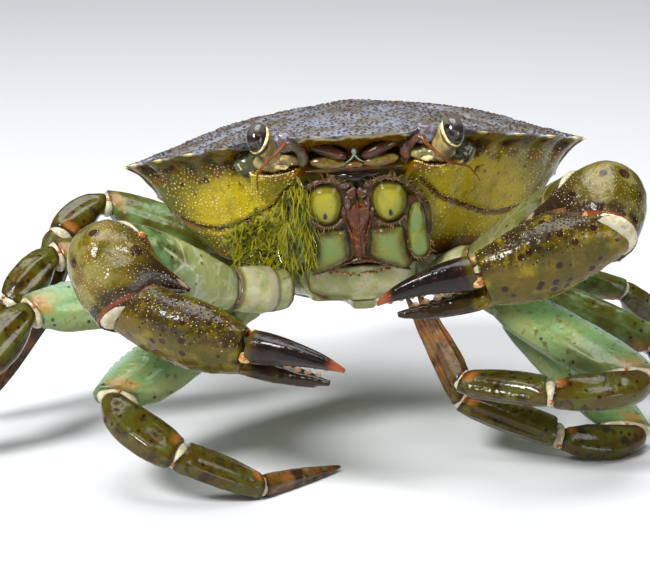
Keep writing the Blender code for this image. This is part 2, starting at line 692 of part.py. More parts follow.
def make_claw_leg(side, materials):
    """Base, merus, carpus, palm and moving finger of one claw leg."""
    name = f"{side}_claw"
    directions = [pose_direction(*pose) for pose in CLAW_POSES[side]]
    lengths = (CLAW_BASE.length, CLAW_MERUS.length, CLAW_CARPUS.length, CLAW_PALM_LENGTH)
    joints = chain(mirrored(CLAW_ROOT, side), directions, lengths)
    tangents = joint_tangents(directions, (0.5, 0.15, 0.36))
    normal = directions[1].cross(directions[2]).normalized()
    shell = materials["claw_shell"]
    base = tube_rings(straight_spine, joints[0:2], tangents[0:2], CLAW_BASE, CLAW_BASE_OUTLINE, normal, CLAW_SIDES)
    add_object(f"{name}_base", cut_tube(base, joints[0:2], tangents[0:2]), materials["pale_shell"])
    merus = tube_rings(straight_spine, joints[1:3], tangents[1:3], CLAW_MERUS, CLAW_MERUS_OUTLINE, normal, CLAW_SIDES)
    add_object(f"{name}_merus", cut_tube(merus, joints[1:3], tangents[1:3]), materials["leg_shell"])
    crown = joints[2] + directions[1] * CLAW_CARPUS_AHEAD - directions[2] * CLAW_CARPUS_ABOVE
    axis = (joints[3] - crown).normalized()
    carpus = tube_rings(straight_spine, (crown, joints[3]), (axis, tangents[3]), CLAW_CARPUS, CLAW_CARPUS_OUTLINE,
                        normal, CLAW_SIDES)
    pull_thorn(carpus, Vector((-side_sign(side), -0.35, -0.15)).normalized())
    add_object(f"{name}_carpus", cut_tube(carpus, joints[2:4], tangents[2:4]), shell)
    along = directions[3]
    up = palm_frame(side, along)
    wrist = joints[3]
    palm = palm_rings(wrist, along, up)
    add_object(f"{name}_palm", cut_tube(palm, (wrist, wrist), (tangents[3], along), free_end=True), shell)
    finger = finger_rings(wrist, along, up, FINGER_SWING[side])
    add_object(f"{name}_finger", loft(finger), materials["claw_finger_shell"])


# ---------------------------------------------------------------- assembly

def clear_scene():
    for item in list(bpy.data.objects):
        bpy.data.objects.remove(item, do_unlink=True)


def centre_on_floor():
    """Move the whole crab so that its bounding box is centred over the origin."""
    points = [vert.co for item in bpy.context.scene.objects for vert in item.data.vertices]
    middle = [(min(point[axis] for point in points) + max(point[axis] for point in points)) / 2 for axis in (0, 1)]
    shift = Matrix.Translation((-middle[0], -middle[1], -min(point.z for point in points)))
    for item in bpy.context.scene.objects:
        item.data.transform(shift)


def main():
    clear_scene()
    materials = {name: make_material(name) for name in COLOURS}
    add_object("carapace", make_carapace(), materials["carapace_shell"])
    add_object("sternum", make_sternum(), materials["pale_shell"])
    add_object("abdomen", make_abdomen(), materials["pale_shell"])
    add_object("epistome", make_epistome(), materials["feeler_shell"])
    for side in ("left", "right"):
        add_object(f"{side}_eyestalk", make_eyestalk(side), materials["eyestalk_shell"])
        add_object(f"{side}_cornea", make_cornea(side), materials["eye_cornea"])
        add_object(f"{side}_antennule", make_antennule(side), materials["feeler_shell"])
        add_object(f"{side}_antenna", make_antenna(side), materials["feeler_shell"])
        add_object(f"{side}_maxilliped", make_maxilliped(side), materials["mouth_shell"])
        make_claw_leg(side, materials)
        for number in LEGS:
            make_leg(side, number, materials)
    centre_on_floor()


main()
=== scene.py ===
"""Looks of a life-size shore crab: wet shell, joint skins, face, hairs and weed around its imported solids.

Laid out as a Blender add-on and run as a script. Lengths below are in millimetres unless a name says
otherwise. Body coordinates are (side, forward, up), measured in the tilted frame of the shell.
"""

import json
import math
from collections import namedtuple

import bmesh
import bpy
import numpy as np
from bpy.props import FloatProperty, FloatVectorProperty, IntProperty, PointerProperty
from mathutils import Matrix, Vector, noise
from mathutils.bvhtree import BVHTree

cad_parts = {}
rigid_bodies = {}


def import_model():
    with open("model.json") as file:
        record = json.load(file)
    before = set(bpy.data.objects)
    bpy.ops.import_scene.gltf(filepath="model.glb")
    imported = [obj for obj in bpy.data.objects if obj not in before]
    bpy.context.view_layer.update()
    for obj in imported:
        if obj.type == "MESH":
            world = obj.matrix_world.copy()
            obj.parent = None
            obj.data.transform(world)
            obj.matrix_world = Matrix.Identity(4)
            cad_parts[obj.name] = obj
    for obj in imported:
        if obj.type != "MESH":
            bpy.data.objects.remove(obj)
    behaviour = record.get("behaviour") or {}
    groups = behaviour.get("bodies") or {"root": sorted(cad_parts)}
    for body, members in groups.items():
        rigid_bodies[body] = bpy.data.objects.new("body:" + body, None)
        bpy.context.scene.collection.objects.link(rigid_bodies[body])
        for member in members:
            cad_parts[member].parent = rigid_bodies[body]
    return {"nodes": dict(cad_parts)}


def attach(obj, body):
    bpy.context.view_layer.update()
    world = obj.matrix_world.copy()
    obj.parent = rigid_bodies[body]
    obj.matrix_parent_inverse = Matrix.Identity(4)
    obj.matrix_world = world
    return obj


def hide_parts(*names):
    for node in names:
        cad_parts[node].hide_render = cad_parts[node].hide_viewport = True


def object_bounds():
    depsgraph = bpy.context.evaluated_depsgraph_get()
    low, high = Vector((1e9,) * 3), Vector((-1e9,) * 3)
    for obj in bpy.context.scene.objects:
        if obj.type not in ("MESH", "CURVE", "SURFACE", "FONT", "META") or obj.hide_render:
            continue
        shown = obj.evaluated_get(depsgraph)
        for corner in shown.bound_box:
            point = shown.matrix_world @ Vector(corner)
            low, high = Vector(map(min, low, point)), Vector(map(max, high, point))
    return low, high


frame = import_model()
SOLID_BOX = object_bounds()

bl_info = {
    "name": "Shore crab",
    "version": (1, 0, 0),
    "blender": (4, 5, 0),
    "location": "3D View > Sidebar > Crab",
    "description": "Builds the shell, face, joints, hairs and weed of a shore crab around its solids",
    "category": "Object",
}

MM = 0.001
SIDES = ("left", "right")
SIGN = {"left": 1.0, "right": -1.0}
MERGE_DISTANCE = 1e-6      # metres
COPLANAR = math.radians(0.3)
ROUNDING_PASSES = 3
LOOP_STEPS = 100           # fine steps between two knots of a smooth outline

SMALL_SHARP = math.radians(80)    # edges of grains and threads stay smooth below this
BEAD_STEPS = (8, 6)               # segments and rings of a bead

WET_IOR = 1.38             # chitin seen through a film of water
WATER_IOR = 1.33
WATER_ROUGHNESS = 0.04
SPECULAR_LEVEL = 0.35      # the film takes over part of the shell's own reflection
WEAR_SIZE = 1.6            # patches of thicker and thinner film
LEAST_ROUGHNESS = 0.02
SKIN_DEPTHS = (1.2 * MM, 0.9 * MM, 0.5 * MM)      # how far red, green and blue light goes into skin

# ---- Random draws ----
# The claws' seeds grow by one from the left claw to the right.
SEEDS = {"granules": 5, "pearls": 9, "crest": 31, "palm_beads": 61, "wrist_beads": 71, "slime": 76,
         "weed": 77, "threads": 78, "bristles": 41, "breast": 55}

# ---- Body frame ----
BODY_PITCH = math.radians(11.0)   # front of the shell raised
LAST_TOOTH_FORWARD = -0.6         # forward position of the hindmost side teeth

# ---- Shell ----
TOOTH_TIPS = ((17.2, 18.8), (22.4, 14.8), (27.0, 10.0), (30.9, 4.7), (32.6, -0.6))
# Groove between the shell's cheek and its lower wall: (side, up)
CHEEK_GROOVE = ((8.8, -3.7), (10.9, -6.1), (13.9, -7.5), (17.1, -8.9), (19.4, -9.2), (21.9, -8.8),
                (24.8, -7.6), (27.8, -5.2))
# Furrows of the crown: (side, forward)
NECK_FURROW = ((3.2, -3.0), (5.2, -1.0), (8.5, 1.5), (13.0, 5.0), (18.0, 8.5), (23.0, 9.5))
HEART_FURROW = ((3.2, -3.0), (4.6, -7.0), (5.2, -12.0), (4.0, -17.0))
SNOUT_FURROW = ((0.0, 22.0), (0.0, 14.0))
# Bowls behind the eyes and the small feelers: centre (side, up), radii, depth
EYE_BOWL = ((14.3, 0.0), (3.4, 1.5), 1.6)
PIT_BOWL = ((3.9, 0.3), (3.0, 1.7), 1.2)
BOWLS_AHEAD_OF = 11.0
# Furrows with their depth and width
FURROWS = ((NECK_FURROW, 0.5, 1.1), (HEART_FURROW, 0.4, 1.0), (SNOUT_FURROW, 0.25, 0.9))


# ---------------------------------------------------------------- colours and sizes

def linear(hex_colour):
    """An sRGB hex colour as linear red, green and blue."""
    channels = [int(hex_colour[start:start + 2], 16) / 255 for start in (0, 2, 4)]
    return tuple(value / 12.92 if value <= 0.04045 else ((value + 0.055) / 1.055) ** 2.4
                 for value in channels)


def colour(label, hex_colour, description):
    """A colour property with its default given as sRGB hex."""
    return FloatVectorProperty(name=label, description=description, subtype="COLOR", size=3, min=0.0, max=1.0,
                               default=linear(hex_colour))


def length(label, value, description):
    """A size property in millimetres."""
    return FloatProperty(name=label, description=description, default=value, min=0.0)


class CrabColours(bpy.types.PropertyGroup):
    """Colours of the crab's shell, skin and weed."""
    crown: colour("Crown", "6A675E", "Grey olive of the shell's top")
    # Partly painted reflection: the slate blue stands in for the sky's sheen on the wet top.
    crown_blue: colour("Crown blue", "868D9E", "Slate blue patches of the shell's top")
    crown_rust: colour("Crown rust", "4A3322", "Rust brown of the shell's top towards its edge")
    granule: colour("Granule", "35221A", "Dark brown of the crown's granules")
    wall_yellow: colour("Cheek yellow", "BAA418", "Bright yellow of the cheeks")
    wall_olive: colour("Cheek olive", "5C5208", "Olive of the shell's lower walls")
    # Partly painted shade: under the shell's edge, in its groove and hollows, and behind the mouth's cover.
    wall_brown: colour("Cheek brown", "2A1A08", "Dark brown under the shell's edge")
    band_brown: colour("Front brown", "6A4404", "Orange brown of the shade under the front lobes")
    wall_green: colour("Lower wall green", "5A5A28", "Grey green of the lowest walls")
    pale_edge: colour("Pale edge", "DCCB90", "Cream of the tooth tips and the front lobes' edge")
    claw_olive: colour("Claw olive", "564604", "Olive ochre of the claws")
    claw_green: colour("Claw green", "303402", "Greener patches of the claws")
    claw_dark: colour("Claw crest", "1E100C", "Purple brown of the claw's crest and thorn")
    # Also a painted pale sheen on the wrists' tops and on the glint beads.
    claw_pale: colour("Claw underside", "8C8550", "Pale grey of the claw's lower edge")
    claw_spot: colour("Claw spot", "2A0E08", "Dark red brown of the claw's spots")
    finger: colour("Finger", "140B09", "Black brown of the fingers")
    finger_tip: colour("Finger tip", "8A4428", "Orange red of the finger tips")
    tooth: colour("Finger tooth", "A98A70", "Beige of the fingers' blunt teeth")
    merus_green: colour("Thigh green", "678853", "Fresh green of the legs' long segments")
    merus_yellow: colour("Thigh yellow", "86864A", "Yellow mottling of the legs' long segments")
    # Partly painted highlight along the long segments' outer ridge.
    merus_blue: colour("Thigh ridge", "9FB2A8", "Pale blue green of the long segments' upper ridge")
    leg_olive: colour("Shin olive", "463808", "Dark olive of the legs' outer segments")
    leg_green: colour("Shin green", "494C14", "Green of the legs' outer segments")
    leg_brown: colour("Shin brown", "24170A", "Brown of the legs' outer segments")
    leg_under: colour("Leg underside", "7C8458", "Pale grey green of the legs' lower faces")
    toe_orange: colour("Toe orange", "A0622C", "Orange brown of the last segments' ridges")
    condyle: colour("Condyle orange", "A8622A", "Orange of the hinge knobs")
    skin: colour("Joint skin", "B0A88E", "White of the wet skin in the joints")
    basal: colour("Basal green", "A2A56A", "Pale green of the legs' first segments")
    basal_cream: colour("Basal cream", "CFC8A6", "Cream veins of the first segments")
    mouth_green: colour("Mouth green", "7A8232", "Green of the mouth's cover plates")
    mouth_yellow: colour("Mouth yellow", "A29826", "Yellow of the upper cover plates")
    # Also the painted shade along the edges of the cover plates.
    mouth_dark: colour("Mouth dark", "1A0F08", "Dark edges of the mouth's cover plates")
    palp: colour("Palp brown", "4A2A18", "Red brown of the palps and the mouth's middle")
    palp_seam: colour("Palp seam", "5C2A10", "Orange red seams of the mouth's middle")
    # Painted reflection on the corneas' upper part.
    eye: colour("Cornea", "241F1C", "Dark grey of the corneas")
    eye_light: colour("Cornea light", "6A655E", "Lighter grey of the corneas' upper part")
    stalk: colour("Eyestalk", "9C8A52", "Pale yellow of the eyestalks")
    stalk_purple: colour("Eyestalk root", "5A4C4E", "Bluish purple of the eyestalks' roots")
    orbit: colour("Eye socket", "4C5032", "Olive green lining of the eye sockets")
    feeler: colour("Feeler", "6A3614", "Brown of the feelers")
    pit: colour("Feeler pit", "3A2212", "Dark brown of the small feelers' pits")
    pit_tan: colour("Feeler pit tan", "63481E", "Tan of the small feelers' first segment")
    septum: colour("Septum", "7E9488", "Teal white of the strip between the pits")
    weed: colour("Weed", "8A8608", "Yellow green of the weed")
    weed_dark: colour("Weed dark", "403C04", "Dark green inside the weed")
    bristle: colour("Bristle", "8F7448", "Light brown of the bristles")


class CrabSizes(bpy.types.PropertyGroup):
    """Sizes of the crab's small details."""
    granule: length("Granule", 0.21, "Mean radius of the crown's granules, in millimetres")
    granule_space: length("Granule spacing", 0.50, "Least distance between two granules, in millimetres")
    granule_count: IntProperty(name="Granules", description="Places tried for the crown's granules",
                               default=9000, min=0)
    pearl: length("Pearl", 0.14, "Radius of the pale grains on the cheeks, in millimetres")
    pearl_space: length("Pearl spacing", 0.5, "Least distance between two pale grains, in millimetres")
    pearl_count: IntProperty(name="Pearls", description="Places tried for the cheeks' pale grains",
                             default=5200, min=0)
    weed_count: IntProperty(name="Weed threads", description="Number of threads of weed", default=620, min=0)
    weed_length: length("Weed length", 4.0, "Mean length of a thread of weed, in millimetres")
    weed_radius: length("Weed radius", 0.11, "Radius of a thread of weed at its root, in millimetres")


# ---------------------------------------------------------------- arithmetic

def smooth(value, low, high):
    """Smooth step from 0 at low to 1 at high, for numbers or arrays."""
    share = np.clip((np.asarray(value, float) - low) / (high - low), 0.0, 1.0)
    return share * share * (3.0 - 2.0 * share)


def bell(value, width):
    """Bell curve of a distance."""
    return np.exp(-(np.asarray(value, float) / width) ** 2)


def halved(height):
    """A height from -1 to 1 as a share from 0 to 1."""
    return 0.5 + 0.5 * np.clip(height, -1, 1)


def line_distance(points, line):
    """Distance of each 2-D point from a line of straight runs."""
    best = np.full(len(points), 1e9)
    for first, second in zip(line, line[1:]):
        start = np.array(first)
        run = np.array(second) - start
        share = np.clip(((points - start) @ run) / (run @ run), 0.0, 1.0)
        best = np.minimum(best, np.linalg.norm(points - start - share[:, None] * run, axis=1))
    return best


def roughness_of(points, size):
    """Smooth noise from -1 to 1 at each 3-D point, with lumps of a given size."""
    return np.array([noise.noise(Vector(point) / size) for point in points])


# ---------------------------------------------------------------- body frame

def find_body():
    """The shell's origin, in metres in the row frame, and its three axes as columns."""
    points = [vert.co for vert in frame["nodes"]["carapace"].data.vertices]
    left = max(points, key=lambda point: point.x)
    right = min(points, key=lambda point: point.x)
    across = left - right
    roll = math.atan2(across.z, across.x)
    side = Vector((math.cos(roll), 0.0, math.sin(roll)))
    forward = Vector((-math.sin(BODY_PITCH) * math.sin(roll), -math.cos(BODY_PITCH),
                      math.sin(BODY_PITCH) * math.cos(roll)))
    up = Vector((-math.cos(BODY_PITCH) * math.sin(roll), math.sin(BODY_PITCH),
                 math.cos(BODY_PITCH) * math.cos(roll)))
    origin = (left + right) / 2 - forward * LAST_TOOTH_FORWARD * MM
    return origin, Matrix((side, forward, up)).transposed()


BODY_ORIGIN, BODY_AXES = find_body()
BODY = Matrix.Translation(BODY_ORIGIN) @ (BODY_AXES * MM).to_4x4()


def to_body(points):
    """Row-frame points, in metres, as body coordinates in millimetres."""
    return (np.asarray(points, float) - np.array(BODY_ORIGIN)) @ np.array(BODY_AXES) / MM


def body_point(side, forward, up):
    """A body position as a row-frame point in metres."""
    return BODY @ Vector((side, forward, up))


def margin_height(forward):
    """Height of the shell's edge at a forward position."""
    forward = np.asarray(forward, float)
    front = 0.055 * forward + 0.003 * forward ** 2
    rear = 0.02 * forward - 0.0018 * forward ** 2
    return np.where(forward >= 0.0, front, rear)


# ---------------------------------------------------------------- meshes

def read_points(mesh):
    """A mesh's points as an array of rows."""
    points = np.empty(len(mesh.vertices) * 3, np.float32)
    mesh.vertices.foreach_get("co", points)
    return points.reshape(-1, 3).astype(float)


def write_points(mesh, points):
    """Put points back into a mesh."""
    mesh.vertices.foreach_set("co", points.astype(np.float32).ravel())
    mesh.update()


def read_normals(mesh):
    """A mesh's point normals as an array of rows."""
    normals = np.empty(len(mesh.vertices) * 3, np.float32)
    mesh.vertex_normals.foreach_get("vector", normals)
    return normals.reshape(-1, 3).astype(float)


def lift_points(mesh, points, lift):
    """Put points into a mesh, each moved along the mesh's normal by a lift in millimetres."""
    write_points(mesh, points + read_normals(mesh) * (lift * MM)[:, None])


def roughen(mesh, depth, size):
    """Give a mesh soft lumps of a depth and size in millimetres; returns where its points were."""
    points = read_points(mesh)
    lift_points(mesh, points, depth * roughness_of(points, size * MM))
    return points


def plain_mesh(name, shape):
    """A mesh made from a bmesh just as it is; the bmesh is freed."""
    mesh = bpy.data.meshes.new(name)
    shape.to_mesh(mesh)
    shape.free()
    return mesh


def surface_of(name):
    """A finished piece's faces, to be searched for the nearest place or struck by rays."""
    mesh = bpy.data.objects[name].data
    corners = [vert.co for vert in mesh.vertices]
    return BVHTree.FromPolygons(corners, [face.vertices for face in mesh.polygons])


def node_cage(name):
    """A copy of a solid's mesh with doubles merged, flat neighbours joined and triangles paired."""
    cage = bmesh.new()
    cage.from_mesh(frame["nodes"][name].data)
    bmesh.ops.remove_doubles(cage, verts=cage.verts, dist=MERGE_DISTANCE)
    bmesh.ops.dissolve_limit(cage, angle_limit=COPLANAR, verts=cage.verts, edges=cage.edges)
    triangles = [face for face in cage.faces if len(face.verts) == 3]
    bmesh.ops.join_triangles(cage, faces=triangles, angle_face_threshold=math.radians(60),
                             angle_shape_threshold=math.radians(80))
    return cage


def rounded(cage, levels, sharp_angle=math.radians(55), hardness=0.9):
    """A dense smooth mesh that still passes through the corners of a cage."""
    crease = cage.edges.layers.float.new("crease_edge")
    for edge in cage.edges:
        if len(edge.link_faces) == 2 and edge.calc_face_angle(0.0) > sharp_angle:
            edge[crease] = hardness
    mesh = plain_mesh("cage", cage)
    holder = bpy.data.objects.new("cage", mesh)
    bpy.context.scene.collection.objects.link(holder)
    modifier = holder.modifiers.new("Rounding", "SUBSURF")
    modifier.levels = levels
    modifier.render_levels = levels
    goal = read_points(mesh)
    for _ in range(ROUNDING_PASSES):
        bpy.context.view_layer.update()
        depsgraph = bpy.context.evaluated_depsgraph_get()
        reached = read_points(holder.evaluated_get(depsgraph).data)[:len(goal)]
        write_points(mesh, read_points(mesh) + goal - reached)
    bpy.context.view_layer.update()
    depsgraph = bpy.context.evaluated_depsgraph_get()
    dense = bpy.data.meshes.new_from_object(holder.evaluated_get(depsgraph))
    bpy.data.objects.remove(holder)
    bpy.data.meshes.remove(mesh)
    return dense


def paint_zones(mesh, *channels):
    """Store up to four 0-to-1 masks on a mesh's points for its material to read."""
    count = len(mesh.vertices)
    columns = [np.broadcast_to(np.clip(channel, 0.0, 1.0), count) for channel in channels]
    columns += [np.zeros(count)] * (4 - len(columns))
    attribute = mesh.color_attributes.new(name="zones", type="FLOAT_COLOR", domain="POINT")
    attribute.data.foreach_set("color", np.stack(columns, axis=1).astype(np.float32).ravel())


def show(name, mesh, material, replaces=(), sharp=math.radians(60)):
    """Put a mesh in the scene as a piece with a finish that rides on the crab, inside the solids' box."""
    if "crease_edge" in mesh.attributes:
        mesh.attributes.remove(mesh.attributes["crease_edge"])
    write_points(mesh, np.clip(read_points(mesh), *SOLID_BOX))
    mesh.materials.clear()
    mesh.materials.append(finish(material))
    mesh.polygons.foreach_set("material_index", np.zeros(len(mesh.polygons), np.int32))
    mesh.shade_smooth()
    mesh.set_sharp_from_angle(angle=sharp)
    piece = bpy.data.objects.new(name, mesh)
    bpy.context.scene.collection.objects.link(piece)
    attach(piece, "root")
    if replaces:
        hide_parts(*replaces)
    return piece


def mesh_of(shape):
    """A mesh made from a bmesh, which is freed: seams merged, open ends filled, faces outwards."""
    bmesh.ops.remove_doubles(shape, verts=shape.verts, dist=1e-7)
    bmesh.ops.holes_fill(shape, edges=[edge for edge in shape.edges if edge.is_boundary], sides=64)
    bmesh.ops.recalc_face_normals(shape, faces=shape.faces)
    return plain_mesh("piece", shape)


def perpendicular(vector, axis):
    """The part of a vector square to an axis, with length 1."""
    return (vector - axis * vector.dot(axis)).normalized()


def turned(direction, toward=Vector((0.0, 0.0, 1.0))):
    """Rotation whose third axis is a direction and whose second leans toward another."""
    third = Vector(direction).normalized()
    second = toward - third * toward.dot(third)
    if second.length < 1e-6:
        second = third.orthogonal()
    second.normalize()
    first = second.cross(third)
    return Matrix((first, second, third)).transposed()


def add_blob(shape, centre, axes, radii, segments=24, rings=16):
    """Add an ellipsoid, in metres, with radii in millimetres along the columns of axes."""
    scale = Matrix.Diagonal((*[radius * MM for radius in radii], 1.0))
    place = Matrix.Translation(centre) @ axes.to_4x4() @ scale
    return bmesh.ops.create_uvsphere(shape, u_segments=segments, v_segments=rings, radius=1.0, matrix=place)


def add_tube(shape, path, radii, sides=6):
    """Add a closed tube along a path of points in metres, with radii in millimetres."""
    grid = bmesh.ops.create_grid(shape, x_segments=sides, y_segments=len(path) - 1, size=1.0)["verts"]
    way = (path[1] - path[0]).normalized()
    second = way.orthogonal().normalized()
    places = []
    for index, point in enumerate(path):
        way = (path[min(index + 1, len(path) - 1)] - path[max(index - 1, 0)]).normalized()
        second = perpendicular(second, way)
        places.append((point, second, way.cross(second)))
    for vert in grid:
        turn = math.tau * round((vert.co.x + 1) / 2 * sides) / sides
        index = round((vert.co.y + 1) / 2 * (len(path) - 1))
        centre, one, other = places[index]
        vert.co = centre + (one * math.cos(turn) + other * math.sin(turn)) * radii[index] * MM


def curve_points(knots, count):
    """Points on a smooth curve through knots."""
    knots = [Vector(knot) for knot in knots]
    points = []
    for step in range(count):
        share = step / (count - 1) * (len(knots) - 1)
        index = min(int(share), len(knots) - 2)
        local = share - index
        before = knots[max(index - 1, 0)]
        first = knots[index]
        second = knots[index + 1]
        after = knots[min(index + 2, len(knots) - 1)]
        points.append(0.5 * (2 * first + (second - before) * local
                             + (2 * before - 5 * first + 4 * second - after) * local ** 2
                             + (3 * first - before - 3 * second + after) * local ** 3))
    return points


def tube_through(shape, knots, count, sides=8, rings=0.0):
    """Add a smooth tube through (point, radius) knots; rings is the depth of its joints as a share."""
    path = curve_points([point for point, _ in knots], count)
    places = np.linspace(0, len(knots) - 1, count)
    radii = np.interp(places, range(len(knots)), [radius for _, radius in knots])
    radii = radii * (1.0 - rings * (np.arange(count) % 2))
    radii[0], radii[-1] = radii[0] * 0.3, radii[-1] * 0.3
    add_tube(shape, path, radii, sides)


def tube_mesh(*tubes):
    """A mesh of smooth tubes, each given as tube_through's arguments after the shape."""
    shape = bmesh.new()
    for tube in tubes:
        tube_through(shape, *tube)
    return mesh_of(shape)


def blob_mesh(centre, axes, radii, segments=24, rings=16):
    """A mesh of one ellipsoid, given as add_blob's arguments after the shape."""
    shape = bmesh.new()
    add_blob(shape, centre, axes, radii, segments, rings)
    return mesh_of(shape)


def smooth_loop(outline, count=26):
    """A closed outline resampled on a smooth curve."""
    wrapped = [Vector((*outline[index % len(outline)], 0.0)) for index in range(-1, len(outline) + 2)]
    loop = []
    for step in range(count):
        share = step / count * len(outline)
        index = int(share)
        fine = curve_points(wrapped[index:index + 4], 3 * LOOP_STEPS + 1)
        loop.append(tuple(fine[LOOP_STEPS + round((share - index) * LOOP_STEPS)][:2]))
    return tuple(loop)


def scatter(mesh, tries, spacing, chance, seed):
    """Random places on a mesh, at least a spacing apart: rows of position, and rows of normal."""
    mesh.calc_loop_triangles()
    corners = np.empty(len(mesh.loop_triangles) * 3, np.int32)
    mesh.loop_triangles.foreach_get("vertices", corners)
    corners = corners.reshape(-1, 3)
    points = read_points(mesh)
    normals = read_normals(mesh)
    a, b, c = (points[corners[:, index]] for index in range(3))
    areas = np.linalg.norm(np.cross(b - a, c - a), axis=1) / 2
    areas = areas * chance((a + b + c) / 3)
    draw = np.random.default_rng(seed)
    faces = draw.choice(len(areas), size=tries, p=areas / areas.sum())
    first, second = draw.random((2, tries))
    flip = first + second > 1.0
    first[flip], second[flip] = 1.0 - first[flip], 1.0 - second[flip]
    third = 1.0 - first - second
    weights = np.stack((third, first, second), axis=1)[:, :, None]
    places = (points[corners[faces]] * weights).sum(axis=1)
    facing = (normals[corners[faces]] * weights).sum(axis=1)
    kept = []
    cells = {}
    for index, place in enumerate(places):
        cell = tuple(np.floor(place / (spacing * MM)).astype(int))
        near = [other for dx in (-1, 0, 1) for dy in (-1, 0, 1) for dz in (-1, 0, 1)
                for other in cells.get((cell[0] + dx, cell[1] + dy, cell[2] + dz), ())]
        if all(np.linalg.norm(places[other] - place) > spacing * MM for other in near):
            cells.setdefault(cell, []).append(index)
            kept.append(index)
    return places[kept], facing[kept]


# ---------------------------------------------------------------- materials

# Patterns in Object coordinates: node, its settings, its inputs and the output that is read. Distances
# are read from a line or dot outwards, so their two limits are given from the inside out.
PATTERNS = {
    "clouds": ("ShaderNodeTexNoise", {}, {"Detail": 3.0}, "Fac"),
    "veins": ("ShaderNodeTexVoronoi", {"feature": "DISTANCE_TO_EDGE"}, {}, "Distance"),
    "spots": ("ShaderNodeTexVoronoi", {}, {"Randomness": 0.8}, "Distance"),
    "noise": ("ShaderNodeTexNoise", {}, {"Detail": 4.0}, "Fac"),
    "cells": ("ShaderNodeTexVoronoi", {"feature": "SMOOTH_F1"}, {}, "Distance"),
}


def add_node(tree, kind, settings=None, inputs=None):
    """Add a shader node with its settings; each input is a value, or a socket that is linked in."""
    node = tree.nodes.new(kind)
    for name, value in (settings or {}).items():
        setattr(node, name, value)
    for name, value in (inputs or {}).items():
        if isinstance(value, bpy.types.NodeSocket):
            tree.links.new(value, node.inputs[name])
        else:
            node.inputs[name].default_value = value
    return node


def wet_shell(name, base, layers, roughness=0.3, coat=0.6, skin=0.0, rough_patches=0.12, dull=None,
              noise=None, cells=None):
    """A material of layered paint under a film of water.

    A layer is a colour, its strength and its masks. A mask is (size, low, high) for clouds, another pattern's
    name before these, or a channel of the mesh's zones with its limits. noise and cells are the (size, depth)
    of two bumps. dull is (roughness, mask) where the film is thinner. Sizes and depths are in millimetres.
    """
    paint = bpy.context.scene.crab_colours
    material = bpy.data.materials.new(name)
    material.use_nodes = True
    tree = material.node_tree
    shader = tree.nodes["Principled BSDF"]
    place = add_node(tree, "ShaderNodeTexCoord").outputs["Object"]
    painted = add_node(tree, "ShaderNodeAttribute", {"attribute_name": "zones"})
    split = add_node(tree, "ShaderNodeSeparateColor", inputs={"Color": painted.outputs["Color"]})
    zones = {"red": split.outputs["Red"], "green": split.outputs["Green"], "blue": split.outputs["Blue"],
             "alpha": painted.outputs["Alpha"]}
    masks = [mask for layer in layers for mask in layer[2:]]
    if dull:
        masks.append(dull[1])
    sockets = {}
    for mask in dict.fromkeys(masks):
        kind = mask[0] if isinstance(mask[0], str) else "clouds"
        low, high = mask[-2:]
        if kind in PATTERNS:
            node_kind, settings, inputs, output = PATTERNS[kind]
            scale = {"Vector": place, "Scale": 1 / (mask[-3] * MM)}
            value = add_node(tree, node_kind, settings, scale | inputs).outputs[output]
            if output == "Distance":
                low, high = high, low
        else:
            value = zones[kind]
        ranged = add_node(tree, "ShaderNodeMapRange", {"interpolation_type": "SMOOTHSTEP"},
                          {"Value": value, "From Min": low, "From Max": high})
        sockets[mask] = ranged.outputs["Result"]
    surface = (*getattr(paint, base), 1.0)
    for tint, strength, first, *others in layers:
        factor = sockets[first]
        for share in (*[sockets[mask] for mask in others], strength):
            product = add_node(tree, "ShaderNodeMath", {"operation": "MULTIPLY"}, {0: factor, 1: share})
            factor = product.outputs["Value"]
        mixed = add_node(tree, "ShaderNodeMix", {"data_type": "RGBA"},
                         {0: factor, 6: surface, 7: (*getattr(paint, tint), 1.0)})
        surface = mixed.outputs[2]
    tree.links.new(surface, shader.inputs["Base Color"])
    if rough_patches:
        wear = add_node(tree, "ShaderNodeTexNoise",
                        inputs={"Vector": place, "Scale": 1 / (WEAR_SIZE * MM), "Detail": 2.0})
        spread = add_node(tree, "ShaderNodeMapRange", inputs={
            "Value": wear.outputs["Fac"], "From Min": 0.35, "From Max": 0.65,
            "To Min": max(roughness - rough_patches, LEAST_ROUGHNESS), "To Max": roughness + rough_patches})
        gloss = spread.outputs["Result"]
        if dull:
            gloss = add_node(tree, "ShaderNodeMix", {"data_type": "FLOAT"},
                             {0: sockets[dull[1]], 2: gloss, 3: dull[0]}).outputs[0]
        tree.links.new(gloss, shader.inputs["Roughness"])
    else:
        shader.inputs["Roughness"].default_value = roughness
    height = None
    for kind, bumps in (("noise", noise), ("cells", cells)):
        if not bumps:
            continue
        size, depth = bumps
        node_kind, settings, inputs, output = PATTERNS[kind]
        scale = {"Vector": place, "Scale": 1 / (size * MM)}
        source = add_node(tree, node_kind, settings, scale | inputs).outputs[output]
        term = add_node(tree, "ShaderNodeMath", {"operation": "MULTIPLY"}, {0: source, 1: depth * MM})
        if height is None:
            height = term.outputs["Value"]
        else:
            height = add_node(tree, "ShaderNodeMath", {"operation": "ADD"},
                              {0: height, 1: term.outputs["Value"]}).outputs["Value"]
    if height is not None:
        bump = add_node(tree, "ShaderNodeBump", inputs={"Height": height, "Distance": 1.0, "Strength": 1.0})
        tree.links.new(bump.outputs["Normal"], shader.inputs["Normal"])
    film = {"IOR": WET_IOR, "Specular IOR Level": SPECULAR_LEVEL, "Coat Weight": coat, "Coat IOR": WATER_IOR,
            "Coat Roughness": WATER_ROUGHNESS}
    if skin:
        film |= {"Subsurface Weight": skin, "Subsurface Radius": SKIN_DEPTHS, "Subsurface Scale": 1.0}
    for socket, value in film.items():
        shader.inputs[socket].default_value = value
    return material


def finish(name):
    """The material of one of the finishes, made when it is first asked for."""
    if name in bpy.data.materials:
        return bpy.data.materials[name]
    base, look, *layers = FINISHES[name]
    return wet_shell(name, base, layers, **look)


